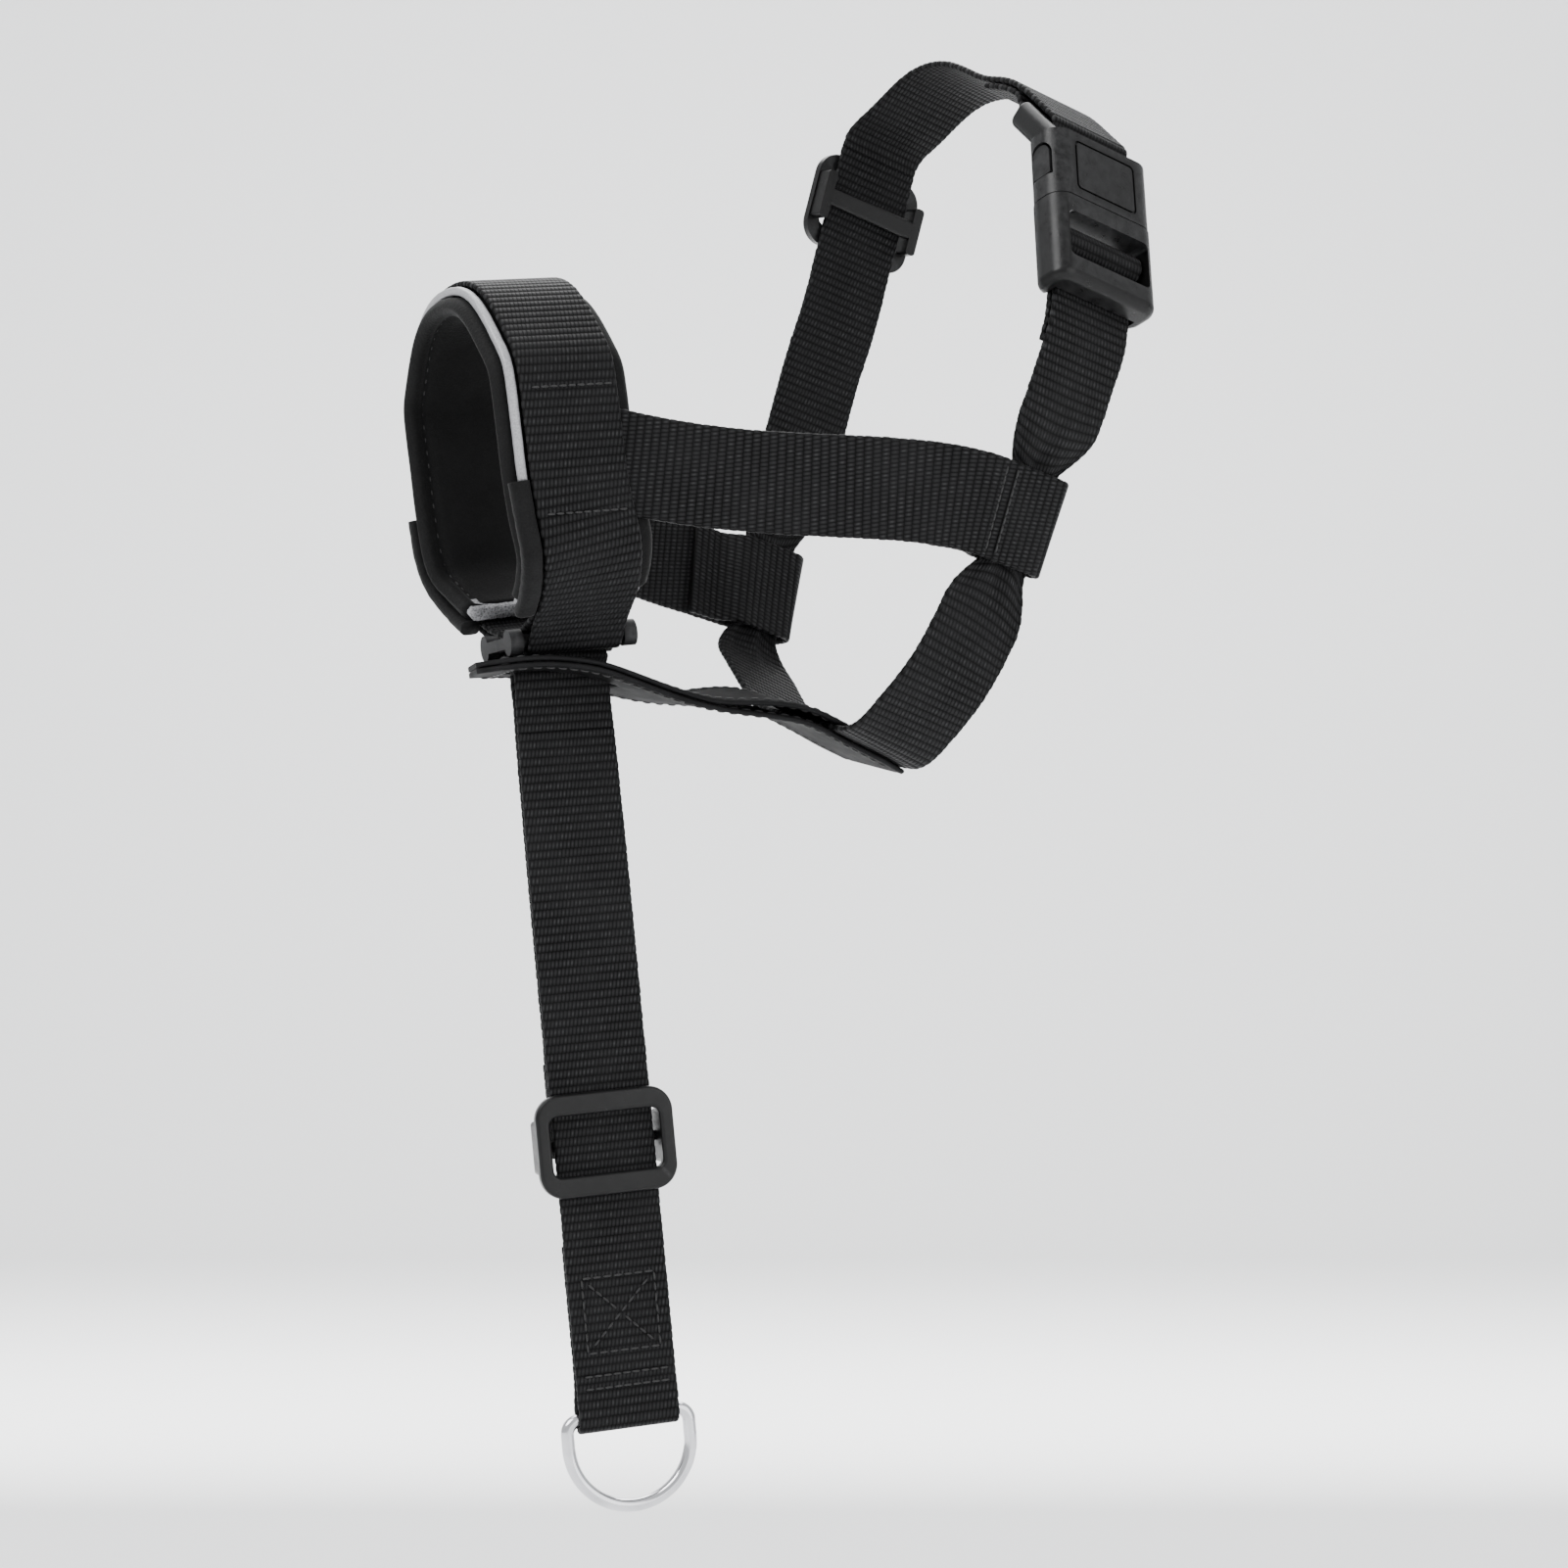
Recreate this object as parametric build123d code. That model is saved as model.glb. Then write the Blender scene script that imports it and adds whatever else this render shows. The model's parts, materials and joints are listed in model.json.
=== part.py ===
from build123d import *
import math
import os

os.makedirs("parts", exist_ok=True)

# Head halter for a large dog, in millimetres and degrees.
# X points to the dog's left, Y to its tail and Z up.
# The origin is the centre of the muzzle opening inside the nose band.

# Webbing: every strap is the same width and thickness
WEB_W = 25.0
WEB_T = 1.6
PLY_PITCH = 1.9          # distance between the middles of two sewn plies
FOLD_CLEAR = 0.15        # room between a bar and the webbing folded round it

# Nose band: an arch in a plane that leans forward at the top
NOSE_CENTRE = Vector(0, -1.5, 0)
NOSE_YAW = -3.0
NOSE_TILT = -8.0
NOSE_TOP = 41.5
NOSE_HALF = 33.0
NOSE_SIDE_TOP = 12.0     # the sides are straight between these two heights
NOSE_SIDE_LOW = -20.5
NOSE_LEAN = 4.4          # how far the lower ends drift rearwards to the link
PAD_W = 35.0
PAD_OFFSET = 3.0         # from the webbing's middle to the pad's outer face
PAD_SKIN = 0.6
PAD_FOAM = 3.2
PAD_END = -41.0          # height of the pad's open lower ends
PIPING_W = 2.2
PIPING_END = -6.0        # the edge covers take over from the piping here
EDGE_COVER_W = 5.0

# Chin link: three bars in a row, along the width of the nose strap
LINK_HEIGHT = -46.0
LINK_PITCH = 7.2
LINK_LENGTH = 33.5
LINK_OUTER_BAR = 3.6
LINK_CENTRE_BAR = 3.0
LINK_END = 3.4

# Neck loop: an upright loop, leaning back at the top and slightly turned
NECK_CENTRE = Vector(0, 106.6, 0)
NECK_YAW = 7.0
NECK_TILT = 12.0
NECK_WAIST = 14.2        # width of the neck strap where a cheek loop grips it
NECK_WAIST_REACH = 26.0
NECK_DRIFT = 7.0         # how far the throat drifts forwards
THROAT_PITCH = 8.0       # and how much steeper its width is there
LOOP_LEFT = (51.5, -14.5)
LOOP_RIGHT = (-51.5, -21.0)
GRIP_REACH = 11.0
THROAT_LEFT = (17, -71.8)
THROAT_RIGHT = (-13, -64.5)
NECK_SLIDER_AT = (-35.5, 84.0)
NECK_SLIDER_TOP = 15.0   # the crown strap starts this far above the slider
NECK_SLIDER_LOW = 28.0   # the strap is straight from this far below it
CHEEK_START = -4.0       # height where a cheek strap is sewn into the nose band
CHEEK_DROP = 0.27        # its slope there
LOOP_RADIUS = 2.9        # bend of a cheek loop, to the webbing's middle

# Side-release buckle, with its own axes: across, along to the socket, outwards
BUCKLE_AT = (59.2, 67.2)
BUCKLE_SLOPE = 73.0      # downward slope of the buckle towards its plug
BUCKLE_W = 33.0
BUCKLE_T = 12.0
SEAM_Y = -5.0            # where socket and plug meet
SOCKET_END = 14.0        # where the socket's body meets its tail
PLUG_END = -29.5
WRAP_BAR = (-16.0, 0.6)  # the plug's bar, along and outwards
TAIL_L = 17.0
ARM_X = 11.4             # distance of a latch arm from the buckle's middle
TAIL_BEND = 35.0         # the tail bends inwards to follow the neck

# Chin pad
PAD_STRIP_T = 1.3
PAD_STRIP_W = 28.0

# Leash strap, slider and ring
LEASH_TOP = Vector(0.5, 9.3, -52)
LEASH_END = Vector(0.5, 29.2, -232)
LEASH_YAW = 14.0         # twist of the strap's width by its lower end
LEASH_SLIDER_DOWN = 115.0
SLIDER_W = 34.0
SLIDER_L = 25.0
RING_W = 33.5
RING_H = 25.0
RING_WIRE = 3.2
BOX_STITCH = 18.0


def unit(vector):
    """The vector scaled to length one."""
    return vector * (1.0 / vector.length)


def strap_plane(centre, yaw, tilt):
    """Plane whose X is lateral, Y up and Z forward, turned and tilted."""
    turn = math.radians(yaw)
    lean = math.radians(tilt)
    lateral = Vector(math.cos(turn), math.sin(turn), 0)
    forward = Vector(math.sin(turn) * math.cos(lean), -math.cos(turn) * math.cos(lean), math.sin(lean))
    return Plane(origin=centre, x_dir=lateral, z_dir=forward)


NOSE = strap_plane(NOSE_CENTRE, NOSE_YAW, NOSE_TILT)
NECK = strap_plane(NECK_CENTRE, NECK_YAW, NECK_TILT)
NOSE_REAR = NOSE.z_dir * -1
NECK_REAR = NECK.z_dir * -1


def on(plane, flat):
    """A flat point of a strap's plane, in space."""
    return plane.origin + plane.x_dir * flat[0] + plane.y_dir * flat[1]


def curve(points, start, end, count):
    """Points along a smooth curve with given end directions."""
    line = Spline(*points, tangents=(start, end))
    return [line.position_at(i / (count - 1)) for i in range(count)]


def straight(a, b, count):
    """Evenly spaced points from a to b."""
    return [a + (b - a) * (i / (count - 1)) for i in range(count)]


def arc(centre, radius, start, sweep, count):
    """Flat points on a circle; a negative sweep runs clockwise."""
    turns = [math.radians(start + sweep * i / (count - 1)) for i in range(count)]
    return [Vector(centre[0] + radius * math.cos(t), centre[1] + radius * math.sin(t)) for t in turns]


def heading(points, i):
    """Direction of travel at one point of a list."""
    return unit(points[min(i + 1, len(points) - 1)] - points[max(i - 1, 0)])


def ribbon(points, sides, width=WEB_W, low=-WEB_T / 2, high=WEB_T / 2, shift=0.0):
    """Strap through points; sides are width directions, low and high its faces."""
    sections = []
    for i, point in enumerate(points):
        along = heading(points, i)
        side = unit(sides[i] - along * sides[i].dot(along))
        outward = along.cross(side)
        half = (width[i] if isinstance(width, list) else width) / 2
        corners = ((shift - half, low), (shift + half, low), (shift + half, high), (shift - half, high))
        sections.append(Wire.make_polygon([point + side * s + outward * t for s, t in corners]))
    return Solid.make_loft(sections, ruled=True)


def inner_ply(points, pitch):
    """Flat points moved inwards, to the right of the direction of travel."""
    moved = []
    for i, point in enumerate(points):
        along = heading(points, i)
        moved.append(point + Vector(along.Y, -along.X) * pitch)
    return moved


# ------------------------------------------------------------------ nose band

def nose_half():
    """Left half of the nose band's path: top, side, then down to the link."""
    upper = curve([(0, NOSE_TOP), (18.5, 35.5), (29, 23.5), (NOSE_HALF, NOSE_SIDE_TOP)], (1, 0), (0, -1), 16)
    side = straight(Vector(NOSE_HALF, NOSE_SIDE_TOP), Vector(NOSE_HALF, NOSE_SIDE_LOW), 4)
    fold = LINK_OUTER_BAR / 2 + FOLD_CLEAR + WEB_T / 2
    bar = (LINK_PITCH, LINK_HEIGHT)
    start = arc(bar, fold, -35, 0, 2)[0]
    lower = curve([(NOSE_HALF, NOSE_SIDE_LOW), (29.5, -30.5), (21, -38.5), start], (0, -1), (-0.574, -0.819), 14)
    return upper + side[1:] + lower[1:], arc(bar, fold, -35, -215, 12)


def nose_point(flat):
    """A point of the nose band in space; its lower ends drift rearwards."""
    drop = min(max((-12 - flat.Y) / (-12 - LINK_HEIGHT), 0), 1)
    ease = drop * drop * (3 - 2 * drop)
    return on(NOSE, (flat.X, flat.Y)) + NOSE_REAR * (NOSE_LEAN * ease)


def mirrored(half):
    """Right side, then left side, of a path given for the left from the top."""
    right = [Vector(-p.X, p.Y) for p in reversed(half)]
    return right + half[1:]


def nose_ribbon(half, width=WEB_W, low=-WEB_T / 2, high=WEB_T / 2, shift=0.0):
    """Ribbon along both sides of the nose band."""
    points = [nose_point(p) for p in mirrored(half)]
    return ribbon(points, [NOSE_REAR] * len(points), width, low, high, shift)


def nose_strap():
    """Outer webbing: each end folds round an outer bar and is sewn back inside."""
    run, fold = nose_half()
    sewn = inner_ply(run, PLY_PITCH)[-4:-11:-1]
    return nose_ribbon(run + fold[1:] + sewn)


def pad_run(end):
    """The part of the nose path above a given height."""
    run, _ = nose_half()
    return [p for p in run if p.Y > end]


def pad_layer(depth, thickness):
    """One layer of the muzzle pad, a given depth inside the pad's outer face."""
    high = -PAD_OFFSET - depth
    return nose_ribbon(pad_run(PAD_END), PAD_W, high - thickness, high)


def reflective_piping():
    """Light piping along the front edge of the nose webbing."""
    shift = -(WEB_W + PIPING_W) / 2 - 0.3
    return nose_ribbon(pad_run(PIPING_END), PIPING_W, -PAD_OFFSET + 0.3, -0.6, shift)


def pad_edge_cover(side):
    """Folded cover over the pad's front edge, below the piping."""
    run = [Vector(side * p.X, p.Y) for p in pad_run(PAD_END) if p.Y < PIPING_END - 1]
    points = [nose_point(p) for p in run]
    shift = -(WEB_W + EDGE_COVER_W) / 2 - 0.3
    faces = (-PAD_OFFSET + 0.3, 0.6) if side > 0 else (-0.6, PAD_OFFSET - 0.3)
    return ribbon(points, [NOSE_REAR] * len(points), EDGE_COVER_W, faces[0], faces[1], shift)


# ------------------------------------------------------------------ neck loop

def buckle_flat(y, z):
    """Buckle coordinates along and outwards, in the neck loop's plane."""
    slope = math.radians(BUCKLE_SLOPE)
    up = (-math.cos(slope), math.sin(slope))
    out = (math.sin(slope), math.cos(slope))
    return Vector(BUCKLE_AT[0] + y * up[0] + z * out[0], BUCKLE_AT[1] + y * up[1] + z * out[1])


def tail_flat(y, z):
    """Tail coordinates along and outwards, in the neck loop's plane."""
    bend = math.radians(TAIL_BEND)
    along = SOCKET_END - 1 + y * math.cos(bend) + z * math.sin(bend)
    return buckle_flat(along, -y * math.sin(bend) + z * math.cos(bend))


def plug_fold():
    """Neck strap round the plug's bar, then down through the plug's foot."""
    bar = arc(WRAP_BAR, 3.1, -90, 245, 13)
    main = [(-21.0, -1.1), (-24.2, -1.85), (-29.0, -2.1), (-34, -3.1)]
    return [buckle_flat(-19, -2.9)] + [buckle_flat(p.X, p.Y) for p in bar] + [buckle_flat(*p) for p in main]


def neck_path():
    """Neck strap from the plug, under the throat, up to just above the slider."""
    fold = plug_fold()
    in_left, out_left = grip_ends(1)
    in_right, out_right = grip_ends(-1)
    throat = straight(Vector(*THROAT_LEFT), Vector(*THROAT_RIGHT), 5)
    level = heading(throat, 2)
    grip_left = unit(out_left - in_left)
    grip_right = unit(out_right - in_right)
    path = curve([fold[-1], (64.2, 22), (59, 6), in_left], unit(fold[-1] - fold[-2]), grip_left, 16)
    sewn = inner_ply(fold[-3:] + path[1:4], PLY_PITCH)[::-1]
    path += straight(in_left, out_left, 4)[1:]
    path += curve([out_left, (41.5, -56.5), (31, -67), THROAT_LEFT], grip_left, level, 18)[1:]
    path += throat[1:]
    path += curve([THROAT_RIGHT, (-29, -55), (-41.5, -45), in_right], level, grip_right, 18)[1:]
    path += straight(in_right, out_right, 4)[1:]
    below = Vector(*NECK_SLIDER_AT) - crown_up() * NECK_SLIDER_LOW
    above = Vector(*NECK_SLIDER_AT) + crown_up() * (NECK_SLIDER_TOP - 0.3)
    path += curve([out_right, (-48, 12), (-42.2, 43), below], grip_right, crown_up(), 18)[1:]
    return sewn + fold + path[1:] + [above]


def grip_ends(side):
    """Ends of the straight stretch inside a cheek loop, in the order of travel."""
    at = Vector(*(LOOP_LEFT if side > 0 else LOOP_RIGHT))
    reach = unit(Vector(-0.2, -1) if side > 0 else Vector(-0.12, 1)) * GRIP_REACH
    return at - reach, at + reach


def crown_up():
    """Direction of the strap at the neck slider, upwards."""
    return unit(Vector(0.13, 1))


def waist(flat):
    """Width of the neck strap: gathered inside the two cheek loops."""
    near = min((flat - Vector(*LOOP_LEFT)).length, (flat - Vector(*LOOP_RIGHT)).length)
    ease = max(0.0, 1 - near / NECK_WAIST_REACH)
    ease = ease * ease * (3 - 2 * ease)
    grip = min(1.0, 2 * ease)
    return WEB_W - (WEB_W - NECK_WAIST) * grip


def throat_share(flat):
    """How much of the throat's drift and pitch a point of the loop has."""
    drop = min(max((-14 - flat.Y) / 50, 0), 1)
    return drop * drop * (3 - 2 * drop)


def neck_point(flat):
    """A point of the neck loop in space; the throat drifts forwards."""
    return on(NECK, (flat.X, flat.Y)) - NECK_REAR * (NECK_DRIFT * throat_share(flat))


def neck_side(flat):
    """Width direction of the neck strap at a point of the loop."""
    pitch = math.radians(THROAT_PITCH * throat_share(flat))
    return NECK_REAR * math.cos(pitch) - NECK.y_dir * math.sin(pitch)


def neck_ribbon(path, width):
    """Ribbon along the neck loop."""
    return ribbon([neck_point(p) for p in path], [neck_side(p) for p in path], width)


def neck_strap():
    """Lower neck webbing, gathered where the cheek loops hold it."""
    path = neck_path()
    return neck_ribbon(path, [waist(p) for p in path])


def crown_path():
    """Crown webbing from the slider to the socket's bar and folded back inside."""
    start = Vector(*NECK_SLIDER_AT) + crown_up() * NECK_SLIDER_TOP
    leave = tail_flat(TAIL_L + 2, 5.2)
    arrive = unit(tail_flat(8, 5.2) - leave)
    top = curve([start, (-26, 106), (-11, 113.5), (6, 113), (23, 105), leave], crown_up(), arrive, 30)
    over = [tail_flat(y, 5.2) for y in (15.5, 12.0, 8.7)]
    fold = [tail_flat(p.X, p.Y) for p in arc((6.2, 1.5), 3.7, 90, 180, 10)]
    under = [tail_flat(y, -2.2) for y in (9.2, 12.7)]
    sewn = inner_ply(top, PLY_PITCH)[-3:-9:-1]
    return top + over + fold + under + sewn


def crown_strap():
    """Crown webbing, the adjustable half of the neck strap."""
    path = crown_path()
    return neck_ribbon(path, WEB_W)


def loop_axes(side):
    """Where a cheek loop grips the neck strap: point, rearward, outward, up."""
    at = Vector(*(LOOP_LEFT if side > 0 else LOOP_RIGHT))
    before, after = grip_ends(side)
    up = unit(neck_point(before) - neck_point(after)) * side
    rear = neck_side(at)
    out = unit(rear.cross(up)) * side
    return neck_point(at), rear, out, up


def cheek_strap(side):
    """Cheek webbing: sewn inside the nose band, looped round the neck strap."""
    grip, rear, out, up = loop_axes(side)
    radius = LOOP_RADIUS
    reach = 6.6
    drop = unit(NOSE_REAR - NOSE.y_dir * CHEEK_DROP)
    root = on(NOSE, (side * (NOSE_HALF - 1.8), CHEEK_START))
    first = root - drop * 8
    last = root + drop * 14
    entry = grip + out * radius - rear * 10
    sewn = straight(first, last, 4)
    middle = last + (entry - last) * 0.5 + Vector(side * 2.0, 0, -0.2)
    run = curve([last, middle, entry], drop, rear, 18)
    side_in = unit(NOSE.y_dir + NOSE_REAR * CHEEK_DROP)
    sides = [side_in] * len(sewn)
    sides += [unit(side_in * (1 - i / 17) + up * (i / 17)) for i in range(1, 18)]
    loop = [entry + rear * 5, entry + rear * 11]
    for step in range(9):
        turn = math.radians(90 - 180 * step / 8)
        loop.append(grip + rear * (reach + radius * math.cos(turn)) + out * (radius * math.sin(turn)))
    loop += [grip - out * radius + rear * reach * f for f in (0.4, -0.5, -1.35)]
    back = []
    for i in (-2, -3, -4):
        along = heading(run, len(run) + i)
        inward = unit(along.cross(up)) * -side
        back.append(run[i] + inward * PLY_PITCH)
    points = sewn + run[1:] + loop + back
    sides += [up] * (len(points) - len(sides))
    return ribbon(points, sides)


# ------------------------------------------------------------------ plastic parts

def slider_plane(centre, across, along):
    """Plane of a slider: X across the strap, Y along it, Z to its outer face."""
    return Plane(origin=centre, x_dir=across, z_dir=unit(across.cross(along)))


def slider(bar_low, bar_high, bar_l, frame_low, frame_high):
    """Three-bar slider: two outer bars over the strap, a centre bar under it."""
    window_w = WEB_W + 2.2
    window_l = SLIDER_L - 2 * 5.2
    mid = (frame_low + frame_high) / 2
    frame = Pos(0, 0, mid) * Box(SLIDER_W, SLIDER_L, frame_high - frame_low)
    frame = fillet(frame.edges().filter_by(Axis.Z), 6.0)
    window = Pos(0, 0, mid) * Box(window_w, window_l, frame_high)
    frame -= fillet(window.edges().filter_by(Axis.Z), 2.0)
    frame = fillet(frame.faces().sort_by(Axis.Z)[-1].edges(), 0.9)
    rail_w = (SLIDER_W - window_w) / 2 - 0.4
    rail_x = (window_w + rail_w) / 2
    rail_t = frame_low + 0.6 - bar_low
    for end in (-1, 1):
        rail = Pos(end * rail_x, 0, bar_low + rail_t / 2) * Box(rail_w, 13, rail_t)
        frame += fillet(rail.edges().filter_by(Axis.Z), 1.0)
    bar = Pos(0, 0, (bar_low + bar_high) / 2) * Box(window_w + 1, bar_l, bar_high - bar_low)
    bar = fillet(bar.edges().filter_by(Axis.X), 0.9)
    return frame + bar


def neck_slider():
    """Slider of the neck strap, its outer bars on the outside."""
    up = NECK.x_dir * crown_up().X + NECK.y_dir * crown_up().Y
    plane = slider_plane(on(NECK, NECK_SLIDER_AT), NECK_REAR, up)
    if plane.z_dir.dot(NECK.x_dir) > 0:
        plane = slider_plane(on(NECK, NECK_SLIDER_AT), NECK_REAR * -1, up)
    return plane * slider(-3.3, -1.0, 5.0, 0.95, 3.6)


def buckle_plane():
    """Plane of the buckle: X across, Y towards the socket, Z outwards."""
    centre = on(NECK, BUCKLE_AT)
    flat_out = buckle_flat(0, 1) - Vector(*BUCKLE_AT)
    return Plane(origin=centre, x_dir=NECK_REAR, z_dir=NECK.x_dir * flat_out.X + NECK.y_dir * flat_out.Y)


def rounded_block(width, y_low, y_high, thickness, radius):
    """Block along Y with rounded long edges."""
    block = Pos(0, (y_low + y_high) / 2, 0) * Box(width, y_high - y_low, thickness)
    return fillet(block.edges().filter_by(Axis.Y), radius)


def socket_tail():
    """Tail of the socket: two rails and the bar that carries the crown strap."""
    block = Pos(0, TAIL_L / 2, 0.3) * Box(BUCKLE_W - 3, TAIL_L, 7.4)
    block = fillet(block.edges().filter_by(Axis.Y), 2.4)
    block = fillet(block.faces().sort_by(Axis.Y)[-1].edges(), 1.2)
    block -= Pos(0, 11, 0) * Box(WEB_W + 1.2, 20.4, 20)
    bar = Pos(0, 7.5, 1.4) * Box(WEB_W + 2, 6.2, 5.0)
    block += fillet(bar.edges().filter_by(Axis.X), 1.6)
    return Pos(0, SOCKET_END - 1, 0) * Rot(-TAIL_BEND, 0, 0) * block


def buckle_socket():
    """Socket: hollow body with a window in each side, and its bent tail."""
    shell = rounded_block(BUCKLE_W, SEAM_Y, SOCKET_END, BUCKLE_T, 5.0)
    cavity_end = SOCKET_END - 3
    cavity_l = cavity_end - SEAM_Y + 1
    shell -= Pos(0, cavity_end - cavity_l / 2, 0) * Box(27.4, cavity_l, 7.6)
    for end in (-1, 1):
        shell -= Pos(end * BUCKLE_W / 2, 4.0, 0) * Box(9, 6.5, 7.2)
        shell -= Pos(end * BUCKLE_W / 2, 7.25, 0) * Rot(0, 90, 0) * Cylinder(3.6, 9)
    shell += socket_tail()
    panel = Pos(0, 4.5, BUCKLE_T / 2) * Box(20, 14.4, 0.9)
    panel = fillet(panel.edges().filter_by(Axis.Z), 1.5)
    inner = Pos(0, 4.5, BUCKLE_T / 2) * Box(18.8, 13.2, 2)
    inner = fillet(inner.edges().filter_by(Axis.Z), 1.0)
    return buckle_plane() * (shell - (panel - inner))


def buckle_plug():
    """Plug: open frame with the strap's bar, and a middle guide for the socket."""
    frame = rounded_block(BUCKLE_W, PLUG_END, SEAM_Y - 0.3, BUCKLE_T, 4.6)
    foot = frame.faces().sort_by(Axis.Y)[0]
    frame = fillet(foot.edges(), 2.4)
    bar_y, bar_z = WRAP_BAR
    window = Pos(0, bar_y - 0.6, 0) * Box(WEB_W + 1.4, 13.0, 20)
    frame -= fillet(window.edges().filter_by(Axis.Z), 1.5)
    frame -= Pos(0, PLUG_END + 4, -BUCKLE_T / 2) * Box(WEB_W + 1.4, 12, BUCKLE_T - 0.9)
    frame += Pos(0, bar_y, bar_z) * Cylinder(2.1, WEB_W + 3, rotation=(0, 90, 0))
    for end in (-1, 1):
        frame -= Pos(end * ARM_X, SEAM_Y - 1.4, 0) * Box(4.2, 3.8, 6.6)
    guide = Pos(0, 1.5, 0) * Box(6, 17, 5.6)
    frame += fillet(guide.edges().filter_by(Axis.Y), 1.2)
    return buckle_plane() * frame


def latch_arm(end):
    """One springy arm of the plug, with the finger pad that shows in the side."""
    arm = Pos(end * ARM_X, 3.6, 0) * Box(2.8, 13.4, 5.6)
    root = Pos(end * ARM_X, SEAM_Y, 0) * Box(2.8, 5.4, 5.6)
    pad = Pos(end * 14.2, 4.2, 0) * Box(4.0, 6.0, 6.0)
    pad += Pos(end * 14.2, 7.2, 0) * Rot(0, 90, 0) * Cylinder(3.0, 4.0)
    return buckle_plane() * (arm + root + pad)


def chin_link():
    """Three-bar link under the chin, its bars across the ends of the nose strap."""
    body = None
    for x, size in ((-LINK_PITCH, LINK_OUTER_BAR), (0, LINK_CENTRE_BAR), (LINK_PITCH, LINK_OUTER_BAR)):
        bar = Pos(x, 0, 0) * Cylinder(size / 2, LINK_LENGTH, rotation=(90, 0, 0))
        body = bar if body is None else body + bar
    for end in (-1, 1):
        y = end * (LINK_LENGTH - LINK_END) / 2
        plate = Pos(0, y, 0) * Box(2 * LINK_PITCH, LINK_END, 2.8)
        body += plate
        for x in (-LINK_PITCH, LINK_PITCH):
            boss = Pos(x, y, 0) * Rot(90, 0, 0) * extrude(Ellipse(2.4, 3.2), LINK_END / 2, both=True)
            body += boss
    return link_plane() * body


def link_plane():
    """Plane of the chin link: X lateral, Y rearward, Z up."""
    centre = nose_point(Vector(0, LINK_HEIGHT))
    return Plane(origin=centre, x_dir=NOSE.x_dir, z_dir=NOSE.y_dir)


# ------------------------------------------------------------------ chin pad

def chin_pad(layer):
    """One layer of the chin pad; the neck strap is sewn between the two at the rear."""
    flat_left = Vector(*THROAT_LEFT)
    flat_right = Vector(*THROAT_RIGHT)
    middle = (flat_left + flat_right) * 0.5
    throat = neck_point(middle)
    tilt = unit(neck_point(flat_left) - neck_point(flat_right))
    rear_edge = throat + neck_side(middle) * 13.0
    front_edge = throat - neck_side(middle) * 14
    knots = [(0, -14.5, -53.6), (0, -3, -52.0), (0, 14, -52.3), (2.5, 44, -58.0), front_edge]
    line = curve(knots, (0, 1, 0.15), neck_side(middle), 22)
    line += straight(front_edge, rear_edge, 6)[1:]
    points = []
    sides = []
    widths = []
    for i, point in enumerate(line):
        share = i / (len(line) - 1)
        twist = min(max((share - 0.25) / 0.45, 0), 1)
        side = unit(Vector(1, 0, 0) * (1 - twist) + tilt * twist)
        up = unit(side.cross(heading(line, i)))
        open_up = min(max((share - 0.5) / 0.2, 0), 1)
        lift = 0.1 + 0.95 * open_up * open_up * (3 - 2 * open_up) + PAD_STRIP_T / 2
        points.append(point + up * (layer * lift))
        sides.append(side)
        nose_in = min(1.0, (i + 0.35) / 3.2)
        widths.append(PAD_STRIP_W * math.sqrt(1 - (1 - nose_in) ** 2))
    half = PAD_STRIP_T / 2
    strip = ribbon(points, sides, widths, -half, half)
    slot = Pos(0.5, 9.3, -53) * Box(7.4, WEB_W + 2.6, 14)
    return strip - slot


# ------------------------------------------------------------------ leash strap

LEASH_DOWN = unit(LEASH_END - LEASH_TOP)


def leash_side(down):
    """Width direction of the leash strap at a distance below the chin pad."""
    share = min(max((down - 4) / 90, 0), 1)
    turn = math.radians((LEASH_YAW + NOSE_YAW) * share - NOSE_YAW)
    level = Vector(math.sin(turn), math.cos(turn), 0)
    return unit(level - LEASH_DOWN * level.dot(LEASH_DOWN))


def leash_out(down):
    """Direction out of the strap's front face."""
    return unit(leash_side(down).cross(LEASH_DOWN)) * -1


def leash_point(down, out):
    """A point at a distance down the leash, and out from its middle."""
    return LEASH_TOP + LEASH_DOWN * down + leash_out(down) * out


def leash_upper(face):
    """Half of the fold over the link's centre bar, on one face of the strap."""
    link = link_plane()
    fold = LINK_CENTRE_BAR / 2 + FOLD_CLEAR + WEB_T / 2
    points = []
    for step in range(6):
        turn = math.radians(85 - 77 * step / 5)
        offset = link.x_dir * (face * fold * math.cos(turn)) + link.z_dir * (fold * math.sin(turn))
        points.append(link.origin + offset)
    points.append(leash_point(-3.2, face * 1.95))
    return points, [NOSE_REAR] * 6 + [leash_side(0)]


def leash_strap():
    """Front ply: over the link, through the slider and round the ring's bar."""
    length = (LEASH_END - LEASH_TOP).length
    points, sides = leash_upper(1)
    ply = PLY_PITCH / 2
    for down in [0.5] + [8.0 * i for i in range(1, 23)]:
        points.append(leash_point(down, ply))
        sides.append(leash_side(down))
    fold = RING_WIRE / 2 + FOLD_CLEAR + WEB_T / 2
    for step in range(11):
        turn = math.radians(90 - 180 * step / 10)
        points.append(leash_point(length + fold * math.cos(turn), ply - fold + fold * math.sin(turn)))
        sides.append(leash_side(length))
    for back, out in ((4, -3.3), (8, -1.7), (12, -ply), (20, -ply), (28, -ply), (36, -ply), (42, -ply)):
        points.append(leash_point(length - back, out))
        sides.append(leash_side(length - back))
    return ribbon(points, sides)


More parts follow.
